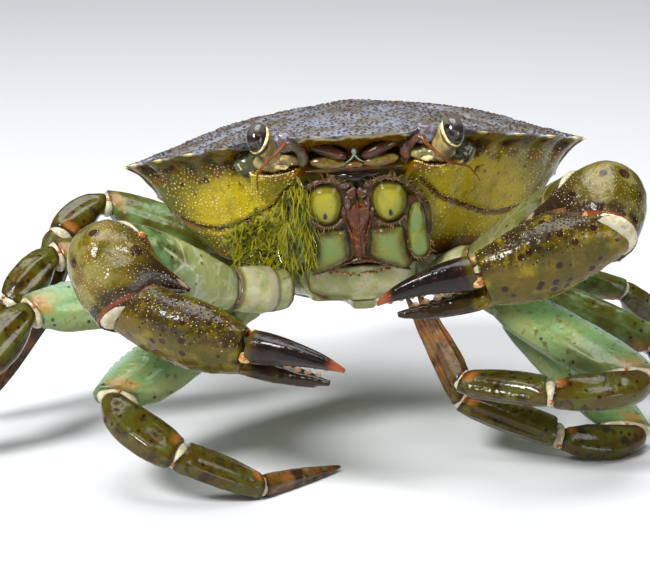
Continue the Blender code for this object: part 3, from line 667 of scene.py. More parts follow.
# What each surface of the real animal is, and what that gives the eye: base colour, look, layers of paint.
FINISHES = {
    # Long segments of the hind legs: the same shell in painted shade, darker and olive with brown clouds.
    "wet_shell_rear_thigh_shaded": ("leg_green",
        dict(roughness=0.22, coat=0.3, skin=0.05, noise=(0.9, 0.12), cells=(0.7, 0.06)),
        ("merus_green", 0.6, (3.4, 0.42, 0.62)), ("leg_olive", 0.7, (1.8, 0.5, 0.66)),
        ("leg_brown", 0.85, ("spots", 1.7, 0.13, 0.19), (5.0, 0.4, 0.55)),
        ("condyle", 0.5, ("alpha", 0.25, 0.85)), ("leg_brown", 0.5, ("green", 0.5, 0.95))),
    # Long leg segments: thin limy chitin, fresh green with yellow clouds and small dark dots, glossy; the
    # pale blue green along the outer ridge is partly painted highlight.
    "wet_shell_thigh": ("merus_green",
        dict(roughness=0.24, coat=0.3, skin=0.08, noise=(0.9, 0.12), cells=(0.7, 0.06)),
        ("merus_yellow", 0.6, (4.5, 0.45, 0.66)), ("basal", 0.8, ("blue", 0.3, 0.24)),
        ("merus_blue", 0.7, ("red", 0.7, 0.95)), ("leg_under", 0.55, ("red", 0.38, 0.15)),
        ("leg_olive", 0.65, (1.3, 0.56, 0.72)),
        ("leg_brown", 0.85, ("spots", 1.7, 0.13, 0.19), (5.0, 0.4, 0.55)),
        ("condyle", 0.55, ("alpha", 0.25, 0.85)), ("leg_brown", 0.4, ("green", 0.5, 0.95))),
    # Leg ends: horny ribbed chitin, brown with orange ridges and a near-black point, silky.
    "wet_shell_toe": ("leg_brown", dict(roughness=0.32, coat=0.4, noise=(0.5, 0.08)),
        ("toe_orange", 0.6, (3.0, 0.3, 0.75)), ("leg_under", 0.4, (1.2, 0.5, 0.75)),
        ("leg_olive", 0.6, ("blue", 0.4, 0.05)), ("finger", 0.75, ("blue", 0.82, 1.0)),
        ("leg_brown", 0.75, ("green", 0.35, 0.9))),
    # Outer leg segments: harder limy chitin, olive and brown with dark red dots, wet and glossy.
    "wet_shell_shin": ("leg_olive", dict(roughness=0.2, coat=0.5, noise=(1.1, 0.12), cells=(0.6, 0.06)),
        ("leg_green", 0.75, (3.2, 0.44, 0.6)), ("leg_brown", 0.8, (1.9, 0.52, 0.66)),
        ("leg_under", 0.35, ("red", 0.3, 0.08)), ("claw_spot", 0.9, ("spots", 1.6, 0.16, 0.22)),
        ("condyle", 0.8, ("alpha", 0.45, 0.9)), ("leg_brown", 0.75, ("green", 0.35, 0.9))),
    # Fingers: dense tanned chitin like polished horn, black brown with orange red tips.
    "horn_finger": ("finger",
        dict(roughness=0.2, coat=0.3, rough_patches=0.06, noise=(0.7, 0.1), cells=(0.9, 0.06)),
        ("palp", 0.25, (1.8, 0.5, 0.7)), ("finger_tip", 0.9, ("blue", 0.8, 0.93)),
        ("claw_olive", 0.5, ("green", 0.4, 0.95))),
    # Claw arms: thin shell, green with cream veins and clouds, wet and slightly see-through.
    "wet_shell_claw_arm": ("claw_green",
        dict(roughness=0.2, coat=0.5, skin=0.1, noise=(1.2, 0.14), cells=(0.8, 0.05)),
        ("merus_green", 0.85, (3.5, 0.3, 0.6)), ("basal", 0.75, ("blue", 0.75, 0.35)),
        ("basal_cream", 0.3, (1.6, 0.5, 0.75)), ("merus_blue", 0.5, (2.8, 0.52, 0.7)),
        ("basal_cream", 0.5, ("veins", 5.5, 0.01, 0.06), (3.0, 0.42, 0.56)),
        ("leg_olive", 0.7, ("red", 0.72, 1.0)), ("leg_brown", 0.8, ("spots", 1.9, 0.1, 0.16)),
        ("leg_brown", 0.8, ("green", 0.35, 0.9))),
    # Claw and leg roots: the thinnest shell over skin, pale green with cream bands.
    "wet_shell_claw_root": ("basal", dict(roughness=0.18, coat=0.6, skin=0.15, noise=(1.0, 0.14)),
        ("basal_cream", 0.45, (2.0, 0.42, 0.66)), ("merus_green", 0.4, (0.9, 0.5, 0.7)),
        ("condyle", 0.35, (1.4, 0.58, 0.7)), ("skin", 0.8, ("alpha", 0.3, 0.36), ("alpha", 0.52, 0.44)),
        ("palp", 0.6, ("alpha", 0.24, 0.29), ("alpha", 0.36, 0.31)),
        ("skin", 0.7, ("alpha", 0.66, 0.7), ("alpha", 0.84, 0.78)), ("palp", 0.8, ("green", 0.25, 0.9))),
    # Wrists: thick limy chitin, olive with a purple brown grainy crest and an orange rim; the pale top is a
    # painted sheen and the pale flecks are painted glints.
    "wet_shell_wrist": ("claw_olive",
        dict(roughness=0.2, coat=0.25, rough_patches=0.08, noise=(1.1, 0.08), cells=(0.42, 0.08)),
        ("wall_olive", 0.55, (3.0, 0.4, 0.56)), ("claw_green", 0.5, (4.0, 0.44, 0.6)),
        ("toe_orange", 0.14, (3.0, 0.5, 0.68)), ("claw_pale", 0.5, ("red", 0.55, 0.95), (2.4, 0.4, 0.6)),
        ("basal_cream", 0.3, ("spots", 0.42, 0.06, 0.2)), ("claw_spot", 0.9, ("spots", 3.4, 0.2, 0.27)),
        ("claw_dark", 0.85, ("green", 0.2, 0.75), (1.6, 0.3, 0.5)),
        ("finger_tip", 0.5, ("green", 0.95, 1.0)), ("claw_dark", 0.9, ("blue", 0.92, 0.98)),
        ("tooth", 0.8, ("alpha", 0.72, 0.95))),
    # Palms: thick limy chitin, ochre olive with round dark dots and a dark grainy crest.
    "wet_shell_claw": ("claw_olive",
        dict(roughness=0.2, coat=0.15, rough_patches=0.06, noise=(1.1, 0.08), cells=(0.42, 0.05)),
        ("claw_green", 0.5, (4.0, 0.44, 0.6)), ("wall_yellow", 0.25, (2.6, 0.5, 0.7)),
        ("wall_yellow", 0.14, ("spots", 0.42, 0.1, 0.3)), ("claw_pale", 0.5, ("red", 0.3, 0.05)),
        ("claw_dark", 0.8, ("red", 0.78, 0.93), (1.4, 0.3, 0.6)),
        ("claw_spot", 0.95, ("spots", 2.1, 0.2, 0.27)), ("finger_tip", 0.55, ("green", 0.3, 0.9)),
        ("claw_dark", 0.9, ("blue", 0.92, 0.98))),
    # Joint skin: untanned membrane, white with cream and orange clouds, soft and wet.
    "wet_joint_skin": ("skin", dict(roughness=0.2, coat=0.6, skin=0.3, noise=(0.45, 0.14)),
        ("basal_cream", 0.7, (0.9, 0.45, 0.62)), ("condyle", 0.4, (1.6, 0.54, 0.66)),
        ("palp", 0.4, (1.2, 0.6, 0.7))),
    # Hinge knobs: lime-rich shell polished by the joint, orange with pale clouds.
    "hinge_knob": ("condyle", dict(roughness=0.22, coat=0.5, skin=0.1, noise=(0.5, 0.08)),
        ("pale_edge", 0.6, (0.7, 0.48, 0.6)), ("palp", 0.5, (1.1, 0.52, 0.64))),
    # Carapace: chitin with lime, slate and rust above, the slate blue partly painted sky reflection; yellow
    # cheeks with painted shade under the edge, in the groove and in the hollows; duller on top under a
    # thinner film.
    "wet_shell_carapace": ("wall_olive",
        dict(roughness=0.22, coat=0.12, dull=(0.27, ("red", 0.3, 0.7)), noise=(0.8, 0.14), cells=(0.6, 0.06)),
        ("wall_green", 0.8, (4.0, 0.45, 0.62)), ("wall_yellow", 0.95, ("green", 0.1, 0.75)),
        ("wall_olive", 0.4, (1.6, 0.5, 0.7)), ("band_brown", 0.9, ("blue", 0.1, 0.45)),
        ("wall_brown", 0.92, ("blue", 0.5, 0.95)), ("crown", 1.0, ("red", 0.3, 0.7)),
        ("crown_blue", 0.7, ("red", 0.3, 0.7), (4.2, 0.36, 0.62)),
        ("wall_olive", 0.45, ("red", 0.3, 0.7), (7.0, 0.54, 0.68)),
        ("crown_rust", 0.65, ("red", 0.3, 0.7), (1.1, 0.5, 0.68)), ("pale_edge", 0.9, ("alpha", 0.3, 0.8))),
    # Granules: dense chitin beads, dark brown and shiny against the grey crown.
    "wet_granule": ("granule", dict(roughness=0.25, coat=0.5), ("crown_rust", 0.7, (1.5, 0.45, 0.62))),
    # Pearls: grains of lime on the cheeks and rims, cream to yellow, shiny.
    "lime_grain": ("pale_edge", dict(roughness=0.25, coat=0.5), ("wall_yellow", 0.75, (2.5, 0.36, 0.52))),
    # Cornea: clear thick chitin over dark facets, so a mirror-smooth grey with a darker spot; its lighter
    # grey upper part and pale clouds are painted reflection.
    "cornea": ("eye", dict(roughness=0.09, coat=1.0, rough_patches=0.0, cells=(0.12, 0.006)),
        ("eye_light", 0.55, ("red", 0.55, 0.95)), ("eye_light", 0.35, (0.8, 0.5, 0.62)),
        ("finger", 0.95, ("blue", 0.45, 0.7))),
    # Eyestalk skin: thin chitin over pale tissue, yellow with olive flanks, wet and slightly see-through.
    "eyestalk_skin": ("stalk", dict(roughness=0.16, coat=0.6, skin=0.25, noise=(0.7, 0.04)),
        ("orbit", 0.9, ("red", 0.1, 0.7)), ("palp", 0.5, (1.4, 0.45, 0.6)),
        ("stalk_purple", 0.6, (1.0, 0.52, 0.64))),
    # Eyestalk base: lumpy skin, pale yellow with olive and brown clouds, very wet.
    "eyestalk_base": ("stalk", dict(roughness=0.14, coat=0.8, skin=0.2, noise=(0.9, 0.14)),
        ("orbit", 0.75, (1.2, 0.42, 0.58)), ("feeler", 0.6, (0.8, 0.52, 0.64))),
    # Eye root: thin skin over blood, bluish purple, very wet.
    "eye_root": ("stalk_purple", dict(roughness=0.12, coat=1.0, noise=(0.6, 0.05)),
        ("crown_blue", 0.7, (0.9, 0.45, 0.6))),
    # Socket lobe: cream skin with brown clouds, very wet.
    "orbit_lobe": ("pale_edge", dict(roughness=0.15, coat=0.9, noise=(0.5, 0.04)),
        ("feeler", 0.6, (0.6, 0.5, 0.64))),
    # Socket lining: thin olive skin with brown and teal clouds, mirror-wet.
    "eye_socket": ("orbit", dict(roughness=0.1, coat=1.0, noise=(0.8, 0.12)),
        ("wall_brown", 0.8, (1.2, 0.45, 0.6)), ("septum", 0.4, (0.7, 0.58, 0.7))),
    # Beads of the socket's rim: lime, cream to teal.
    "orbit_bead": ("pale_edge", dict(roughness=0.2, coat=0.8, noise=(0.3, 0.02)),
        ("septum", 0.5, (0.6, 0.5, 0.64))),
    # Feeler base: thick skin, red brown, purple and olive, very wet.
    "feeler_base": ("palp", dict(roughness=0.14, coat=0.8, skin=0.15, noise=(0.7, 0.14)),
        ("stalk_purple", 0.6, (0.9, 0.42, 0.58)), ("orbit", 0.6, (1.6, 0.46, 0.6)),
        ("feeler", 0.7, (1.1, 0.5, 0.62))),
    # Feeler whip: ringed brown chitin with orange clouds, a thin gloss.
    "feeler_whip": ("feeler", dict(roughness=0.25, coat=0.6, noise=(0.2, 0.02)),
        ("condyle", 0.45, (0.8, 0.5, 0.64))),
    # Small feelers: dark brown chitin folded in their pits, mirror-wet.
    "small_feeler": ("pit", dict(roughness=0.1, coat=1.0, noise=(0.5, 0.06)),
        ("feeler", 0.6, (0.7, 0.5, 0.64))),
    # First segment of the small feelers: tan skin with green and brown clouds.
    "pit_lobe": ("pit_tan", dict(roughness=0.16, coat=0.8, skin=0.2, noise=(0.5, 0.04)),
        ("mouth_green", 0.4, (0.9, 0.45, 0.62)), ("pit", 0.5, (0.6, 0.55, 0.66))),
    # Strip between the pits: thin shell, teal white with tan clouds.
    "pit_septum": ("septum", dict(roughness=0.15, coat=0.9, skin=0.2, noise=(0.4, 0.03)),
        ("pit_tan", 0.5, (0.5, 0.5, 0.64))),
    # Behind the mouth's cover: thin brown shell, dull, its dark brown partly painted shade so that the gaps
    # between the plates stay dark.
    "mouth_backing_and_shade": ("wall_brown", dict(roughness=0.4, coat=0.1, noise=(0.7, 0.12)),
        ("palp", 0.75, (1.1, 0.45, 0.62)), ("wall_olive", 0.6, (2.6, 0.45, 0.6))),
    # Upper cover plates: thin shell, yellow green with one dark spot; the olive border and dark edge are
    # painted shade along the plate's edge.
    "mouth_upper_plate": ("mouth_yellow", dict(roughness=0.2, coat=0.5, skin=0.1, noise=(0.6, 0.05)),
        ("mouth_green", 0.85, (2.4, 0.36, 0.7)), ("palp", 0.5, ("spots", 1.3, 0.06, 0.11)),
        ("mouth_dark", 0.95, ("blue", 0.35, 0.7)), ("wall_olive", 0.7, ("green", 0.05, 0.6)),
        ("mouth_dark", 0.85, ("green", 0.8, 1.0))),
    # Lower cover plates: thin shell, green with a yellow seam; the brown to black edge is painted shade along
    # the plate's edge.
    "mouth_lower_plate": ("mouth_green", dict(roughness=0.2, coat=0.5, skin=0.1, noise=(0.7, 0.06)),
        ("merus_green", 0.6, (2.6, 0.45, 0.6)), ("mouth_yellow", 0.5, ("alpha", 0.3, 0.8)),
        ("palp", 0.5, ("spots", 1.5, 0.05, 0.09)), ("wall_olive", 0.7, ("green", 0.1, 0.7)),
        ("palp", 0.6, ("green", 0.3, 0.7), (1.2, 0.4, 0.6)), ("mouth_dark", 0.85, ("green", 0.86, 1.0))),
    # Palps: red brown flesh with purple and cream clouds, wet.
    "mouth_palp": ("palp", dict(roughness=0.2, coat=0.5, skin=0.1, noise=(0.4, 0.08)),
        ("stalk_purple", 0.6, (0.8, 0.45, 0.6)), ("pale_edge", 0.3, (0.5, 0.56, 0.68))),
    # Seams of the cover: skin, orange red and brown.
    "mouth_seam": ("palp_seam", dict(roughness=0.2, coat=0.5, noise=(0.4, 0.08)),
        ("palp", 0.85, (1.6, 0.42, 0.56)), ("condyle", 0.4, (0.7, 0.52, 0.64))),
    # Rims of the cover: thick chitin edge, red brown with beige stretches, mirror-wet.
    "mouth_rim": ("palp", dict(roughness=0.12, coat=1.0, noise=(0.3, 0.04)),
        ("tooth", 0.5, (3.0, 0.4, 0.6))),
    # Lip: tanned chitin, nearly black, mirror-wet; its black is partly painted shade in the slit of the
    # mouth.
    "mouth_lip_and_shade": ("finger", dict(roughness=0.1, coat=1.0, noise=(0.5, 0.08)),
        ("mouth_dark", 0.5, (0.7, 0.5, 0.62))),
    # Boss of the lip: tan skin with orange clouds.
    "lip_boss": ("pit_tan", dict(roughness=0.16, coat=0.8, noise=(0.4, 0.04)),
        ("condyle", 0.5, (0.8, 0.48, 0.62))),
    # Grains of the claw's crest: tanned chitin, dark with olive ones between.
    "claw_grain": ("claw_dark", dict(roughness=0.25, coat=0.2), ("claw_olive", 0.6, (1.6, 0.5, 0.64))),
    # Beads of palm and wrist: tiny lime grains painted pale cream as glints.
    "glint_bead": ("basal_cream", dict(roughness=0.12, coat=0.8), ("claw_pale", 0.8, (2.0, 0.42, 0.56))),
    # Blunt teeth: lime, beige with orange clouds, worn smooth.
    "finger_tooth": ("tooth", dict(roughness=0.25, coat=0.6, noise=(0.4, 0.04)),
        ("finger_tip", 0.6, (0.8, 0.5, 0.64))),
    # Filamentous green weed: fine wet threads that cling together, glossy and slightly see-through.
    "wet_weed": ("weed", dict(roughness=0.12, coat=1.0, skin=0.15, noise=(0.3, 0.03)),
        ("weed_dark", 0.8, (2.0, 0.48, 0.6)), ("mouth_yellow", 0.6, (1.0, 0.56, 0.66))),
    # Slime under the threads: the same weed rotted to a glossy mat.
    "weed_slime": ("weed_dark",
        dict(roughness=0.1, coat=1.0, skin=0.2, noise=(0.6, 0.25), cells=(0.9, 0.12)),
        ("weed", 0.85, (1.3, 0.44, 0.6)), ("mouth_yellow", 0.7, (2.4, 0.5, 0.62))),
    # Bristles: flexible chitin hairs, brown and wet, lighter where they thin out.
    "bristle": ("bristle", dict(roughness=0.3, coat=0.4, noise=(0.3, 0.02)),
        ("palp", 0.6, (1.2, 0.45, 0.6))),
    # Breast plate: thin pale shell over flesh, wet, with brown lines in its sutures.
    "wet_shell_breast": ("basal", dict(roughness=0.2, coat=0.4, skin=0.12, noise=(1.0, 0.12)),
        ("basal_cream", 0.6, (2.4, 0.42, 0.64)), ("merus_green", 0.45, (1.2, 0.5, 0.7)),
        ("condyle", 0.3, (0.8, 0.58, 0.7)), ("wall_olive", 0.6, ("blue", 0.1, 0.6)),
        ("palp", 0.75, ("green", 0.3, 0.9))),
}


# ---------------------------------------------------------------- limbs

Cap = namedtuple("Cap", "centre normal reach")
Section = namedtuple("Section", "name root tip outer across root_cap tip_cap")
Hinge = namedtuple("Hinge", "centre along outer across half_height half_width")


def end_caps(name):
    """The flat ends of a limb's solid."""
    cage = node_cage(name)
    caps = []
    for face in cage.faces:
        if len(face.verts) >= 6:
            centre = face.calc_center_median()
            reach = max((vert.co - centre).length for vert in face.verts)
            caps.append(Cap(centre, face.normal.copy(), reach))
    cage.free()
    return caps


def nearest_caps(first, second):
    """The two facing ends of two neighbouring solids."""
    pairs = [(one, other) for one in end_caps(first) for other in end_caps(second)]
    return min(pairs, key=lambda pair: (pair[0].centre - pair[1].centre).length)


def limb_sections(names):
    """Sections of a limb in order, each with its outer side: the outside of the limb's bends."""
    pairs = [nearest_caps(first, second) for first, second in zip(names, names[1:])]
    root_caps = sorted(end_caps(names[0]), key=lambda cap: -(cap.centre - pairs[0][0].centre).length)
    points = [root_caps[0].centre] + [(one.centre + other.centre) / 2 for one, other in pairs]
    vertices = [vert.co.copy() for vert in frame["nodes"][names[-1]].data.vertices]
    points.append(max(vertices, key=lambda point: (point - points[-1]).length))
    ways = [(second - first).normalized() for first, second in zip(points, points[1:])]
    sections = []
    for index, name in enumerate(names):
        before = ways[max(index - 1, 0)]
        after = ways[min(index + 1, len(ways) - 1)]
        outer = perpendicular(before - after, ways[index])
        root_cap = pairs[index - 1][1] if index else root_caps[0]
        tip_cap = pairs[index][0] if index < len(pairs) else None
        sections.append(Section(name, points[index], points[index + 1], outer, ways[index].cross(outer),
                                root_cap, tip_cap))
    return sections


def tube_frame(points, section, centred=True):
    """For each point: its share of the length, and its height and width as shares of the local half sizes."""
    run = np.array(section.tip - section.root)
    size = np.linalg.norm(run)
    relative = points - np.array(section.root)
    share = relative @ run / size ** 2
    high = relative @ np.array(section.outer)
    wide = relative @ np.array(section.across)
    edges = np.linspace(0.14, 0.86, 13)
    place = np.digitize(share, edges)
    sizes = []
    for values in (high, wide):
        rows = []
        for index in range(1, len(edges)):
            inside = values[place == index]
            if len(inside):
                low, top = inside.min(), inside.max()
                middle = 0.0 if centred else (low + top) / 2
                half = max(-low, top) if centred else (top - low) / 2
                rows.append(((edges[index - 1] + edges[index]) / 2, middle, half))
        knots, middles, halves = zip(*rows)
        sizes.append((np.interp(share, knots, middles), np.interp(share, knots, halves)))
    height = (high - sizes[0][0]) / sizes[0][1]
    width = (wide - sizes[1][0]) / sizes[1][1]
    return share, height, width


def rim_distance(points, cap):
    """Distance in millimetres of each point from the plane of a limb's open end."""
    if cap is None:
        return np.full(len(points), 1e3)
    return (np.array(cap.centre) - points) @ np.array(cap.normal) / MM


def open_rim(points, cap, pull, reach=2.0):
    """Draw the rim of an open end back by a pull in millimetres, fading along the shell."""
    if cap is None:
        return points
    fade = bell(rim_distance(points, cap), reach)
    return points - np.outer(pull * fade * MM, np.array(cap.normal))


# ---------------------------------------------------------------- shell

def carapace_relief(body, top):
    """Height of the shell's own furrows and lumps, in millimetres outwards."""
    side, forward, up = np.abs(body[:, 0]), body[:, 1], body[:, 2]
    plan = np.stack((side, forward), axis=1)
    face = np.stack((side, up), axis=1)
    furrows = sum(depth * bell(line_distance(plan, furrow), width) for furrow, depth, width in FURROWS)
    lumps = 0.16 * roughness_of(body, 3.2) + 0.07 * roughness_of(body, 1.1)
    cheek = line_distance(face, CHEEK_GROOVE)
    wall = 0.45 * bell(cheek, 0.32) - 0.22 * bell(cheek - 0.7, 0.3)
    wall = wall * (forward > -2.0)
    return top * (lumps - furrows) + (1.0 - top) * (0.06 * roughness_of(body, 1.4) - wall)


def hollow(body, centre, radii, depth):
    """Backward pull, in millimetres, of a bowl sunk in the front of the shell."""
    away = ((np.abs(body[:, 0]) - centre[0]) / radii[0]) ** 2 + ((body[:, 2] - centre[1]) / radii[1]) ** 2
    return depth * np.clip(1.0 - away, 0.0, 1.0) * (body[:, 1] > BOWLS_AHEAD_OF)


def inside_oval(side, up, centre, radii, spread):
    """How far inside an oval of the face each place lies, from 0 to 1, softened by a spread above 1."""
    away = ((side - centre[0]) / radii[0]) ** 2
    return np.clip(spread - away - ((up - centre[1]) / radii[1]) ** 2, 0.0, 1.0)


def carapace_zones(body, top):
    """Masks of the shell's yellow, of its painted shade with some dark mottling, and of its pale tips and
    front edge.
    """
    side, forward, up = np.abs(body[:, 0]), body[:, 1], body[:, 2]
    face = np.stack((side, up), axis=1)
    edge = up - margin_height(forward)
    # The yellow reaches further on the left cheek: partly painted light, brightening the cheek that the lamps
    # leave dimmer.
    yellow_height_and_light = np.where(body[:, 0] > 0, 6.4, 4.9)
    yellow = bell(side - 16.0, 8.0) * bell(up + 6.4, yellow_height_and_light) * smooth(forward, 0.0, 6.0)
    # Painted shade under the shell's edge (blotched), in the cheek groove, under the front lobes and in the
    # eye sockets and feeler pits; the walls also darken towards the bottom, and the mottles near the edge are
    # the shell's own.
    under = bell(edge + 0.9, 1.7) * smooth(side, 11.0, 17.0)
    groove = bell(line_distance(face, CHEEK_GROOVE), 0.32) * (forward > -2.0)
    low = smooth(-up, 11.0, 13.6)
    blotch = np.clip(0.45 + 2.6 * roughness_of(body, 2.0), 0.0, 1.0)
    speckle = smooth(0.55 * roughness_of(body, 0.9), 0.12, 0.3)
    mottle = bell(edge + 3.0, 1.6) * speckle * smooth(side, 11.0, 13.0)
    dark = np.maximum(np.maximum(under * (0.2 + 0.8 * blotch), groove), np.maximum(low * 0.75, mottle))
    front = smooth(forward, 15.5, 17.5) * smooth(-side, -15.0, -10.5) * smooth(up, -3.2, -1.6)
    socket = inside_oval(side, up, (14.2, 0.2), (2.6, 1.6), 1.4) * (forward > 12.0)
    pit = inside_oval(side, up, (3.5, 0.2), (2.9, 1.45), 1.7) * (forward > 15.0)
    dark = np.maximum(np.maximum(dark, front * 0.62), np.maximum(socket, pit)) * (1.0 - top)
    tips = np.zeros(len(body))
    for tip_side, tip_forward in TOOTH_TIPS:
        tips = np.maximum(tips, bell(np.hypot(side - tip_side, forward - tip_forward), 0.9))
    ragged = 0.25 * roughness_of(body, 1.1)
    band = bell(edge + 0.05 + 0.5 * ragged, 0.17) * (side < 9.0) * (forward > 18.0)
    return yellow, dark, np.maximum(tips * bell(edge, 0.8), band * 0.66)


class CRAB_OT_carapace(bpy.types.Operator):
    """Carve and paint the carapace"""
    bl_idname = "crab.carapace"
    bl_label = "Carapace"

    def execute(self, context):
        mesh = rounded(node_cage("carapace"), 3, sharp_angle=math.radians(70))
        points = read_points(mesh)
        body = to_body(points)
        top = smooth(body[:, 2] - margin_height(body[:, 1]), -0.3, 0.15)
        points = points + read_normals(mesh) * (carapace_relief(body, top) * MM)[:, None]
        pull = hollow(body, *EYE_BOWL) + hollow(body, *PIT_BOWL)
        write_points(mesh, points - np.outer(pull * (1.0 - top) * MM, np.array(BODY_AXES.col[1])))
        paint_zones(mesh, top, *carapace_zones(body, top))
        show("carapace_shell", mesh, "wet_shell_carapace", ("carapace",))
        return {"FINISHED"}


def grain_piece(name, mesh, tries, spacing, radius, chance, seed, material, flat=0.55, detail=1):
    """Grains of varied size standing on a mesh, each a low ball of twenty faces, or eighty with detail 2."""
    ball = bmesh.new()
    bmesh.ops.create_icosphere(ball, subdivisions=detail, radius=1.0)
    grain = plain_mesh("grain", ball)
    shape = bmesh.new()
    draw = np.random.default_rng(seed + 1)
    for place, normal in zip(*scatter(mesh, tries, spacing, chance, seed)):
        size = radius * draw.uniform(0.65, 1.35) * MM
        stand = Matrix.Translation(place) @ turned(Vector(normal)).to_4x4()
        stand = stand @ Matrix.Diagonal((size, size, size * flat, 1.0))
        grain.transform(stand)
        shape.from_mesh(grain)
        grain.transform(stand.inverted())
    return show(name, plain_mesh("grains", shape), material, sharp=SMALL_SHARP)


def crown_chance(points):
    """How likely a granule is on each place of the shell's top."""
    body = to_body(points)
    edge = body[:, 2] - margin_height(body[:, 1])
    furrow = bell(line_distance(np.abs(body[:, :2]), NECK_FURROW), 1.2)
    patches = 0.5 + 0.5 * roughness_of(points, 5.0 * MM)
    return smooth(edge, 0.05, 0.4) * (1.0 - 0.7 * furrow) * smooth(patches, 0.1, 0.55)


def cheek_chance(points):
    """How likely a pale grain is on each place of the cheeks."""
    body = to_body(points)
    side, forward, up = np.abs(body[:, 0]), body[:, 1], body[:, 2]
    edge = up - margin_height(forward)
    across = smooth(side, 7.5, 9.5)
    return smooth(-edge, 1.0, 2.0) * across * smooth(forward, 2.0, 6.0) * smooth(up, -13.0, -11.5)


class CRAB_OT_grains(bpy.types.Operator):
    """Scatter the granules of the shell's top and the pale grains of its cheeks"""
    bl_idname = "crab.grains"
    bl_label = "Grains"

    def execute(self, context):
        size = context.scene.crab_sizes
        shell = bpy.data.objects["carapace_shell"].data
        grain_piece("carapace_granules", shell, size.granule_count, size.granule_space, size.granule,
                    crown_chance, SEEDS["granules"], "wet_granule")
        grain_piece("carapace_pearls", shell, size.pearl_count, size.pearl_space, size.pearl,
                    cheek_chance, SEEDS["pearls"], "lime_grain")
        return {"FINISHED"}


# ---------------------------------------------------------------- eyes and feelers
# Body coordinates (side, forward, up) for the crab's left side; the right is its mirror

EYE_SHIFT = {"left": (0.88, 0.0, 0.0), "right": (0.3, 0.0, 0.7)}
CORNEA_GROWTH = 1.1
STALK_SHARE = 0.8          # of the eye's shift that its stalk follows
EYE_FACING = Vector((0.60, 0.65, 0.46)).normalized()
COLLAR_OFFSET = Vector((-0.28, -0.45, -0.35))
COLLAR_STEPS = 24
PUPIL = (12.5, 3.2)        # side, up
# Soft lumps round the eye: centre, radii, finish
EYE_LUMPS = {
    "stalk_mass": ((11.2, 18.5, -0.1), (2.3, 1.2, 1.35), "eyestalk_base"),
    "stalk_lobe": ((9.2, 18.6, -0.1), (1.9, 0.9, 0.95), "eyestalk_base"),
    "eye_root": ((9.3, 19.2, 2.5), (1.8, 1.0, 1.4), "eye_root"),
    "orbit_lobe": ((9.7, 19.35, -0.85), (0.95, 0.35, 0.32), "orbit_lobe"),
    "eye_socket": ((14.1, 15.5, -0.3), (2.1, 1.2, 1.9), "eye_socket"),
}
ORBIT_BEADS = ((8.3, 19.5, -0.5), (9.7, 19.1, -1.2), (11.0, 18.8, -1.65), (12.5, 18.2, -1.9),
               (13.8, 17.6, -1.65), (15.0, 16.9, -1.1), (15.6, 16.4, -0.2))
FEELER_BASE = (((7.1, 18.2, -0.9), 0.60), ((6.9, 18.7, 0.2), 0.90), ((7.3, 19.3, 1.2), 0.80),
               ((8.1, 20.2, 1.75), 0.62), ((8.9, 20.7, 2.05), 0.48), ((9.5, 20.9, 1.8), 0.36))
FEELER_LUMP = ((7.6, 18.9, 2.0), (1.0, 0.8, 0.8))
FEELER_WHIP = {
    "right": ((9.0, 20.9, 2.35), (9.4, 21.3, 1.8), (10.14, 21.5, 1.1), (11.56, 21.2, 0.0),
              (12.74, 20.4, -1.29), (13.09, 19.7, -2.35), (13.1, 18.6, -3.73)),
    "left": ((9.0, 20.9, 2.35), (9.3, 21.3, 1.5), (10.3, 21.5, 0.46), (11.43, 21.2, -0.67),
             (12.59, 20.5, -1.55), (13.79, 19.8, -1.91), (15.0, 19.0, -2.28), (15.9, 18.2, -3.28),
             (16.6, 17.4, -4.43)),
}
WHIP_ROOT_RADIUS = 0.34
WHIP_TAPER = 0.24
SMALL_FEELER = (((1.0, 18.7, -0.1), 0.38), ((1.9, 18.95, 0.2), 0.72), ((3.3, 19.1, 0.8), 0.80),
                ((4.7, 18.9, 1.25), 0.66), ((5.9, 18.5, 1.5), 0.35))
PIT_LOBE = ((3.5, 18.45, -0.78), (2.5, 0.6, 0.82))
PIT_LOBE_LEAN = -0.12
SEPTUM = ((0.0, 19.35, 0.62), (0.36, 0.36, 0.42))
SEPTUM_BRANCH = (((0.0, 19.25, 0.3), 0.15), ((0.45, 19.1, -0.35), 0.10), ((1.3, 18.8, -0.9), 0.06))


def on_side(side, point):
    """A body position given for the left side, on either side, as a row-frame point."""
    return body_point(SIGN[side] * point[0], point[1], point[2])


def placed(side, knots):
    """Knots (point, radius) given for the left side, on either side."""
    return [(on_side(side, point), radius) for point, radius in knots]


def add_orbit_beads(side, shell):
    """String the beads of an eye socket's rim on the shell, or on their own curve where it is far off."""
    shape = bmesh.new()
    for index, point in enumerate(curve_points([on_side(side, point) for point in ORBIT_BEADS], 34)):
        spot = shell.find_nearest(point)[0]
        if (spot - point).length > 1.2 * MM:
            spot = point
        add_blob(shape, spot, BODY_AXES, [0.13 + 0.03 * math.sin(index * 2.4)] * 3, *BEAD_STEPS)
    show(f"{side}_orbit_beads", mesh_of(shape), "orbit_bead")


def add_cornea(side, shift):
    """Round, enlarge, shift and paint a cornea; returns its points in mirrored body coordinates."""
    mesh = rounded(node_cage(f"{side}_cornea"), 3)
    points = read_points(mesh)
    middle = points.mean(axis=0)
    write_points(mesh, middle + (points - middle) * CORNEA_GROWTH + np.array(shift))
    body = to_body(read_points(mesh))
    body[:, 0] *= SIGN[side]
    low, high = body[:, 2].min(), body[:, 2].max()
    pupil = bell(np.hypot(body[:, 0] - PUPIL[0], body[:, 2] - PUPIL[1]), 0.42) * (body[:, 1] > 20.5)
    # The first zone, the height on the cornea, places the painted reflection on its upper part.
    paint_zones(mesh, (body[:, 2] - low) / (high - low), 0.0, pupil)
    show(f"{side}_cornea_shell", mesh, "cornea", (f"{side}_cornea",))
    return body


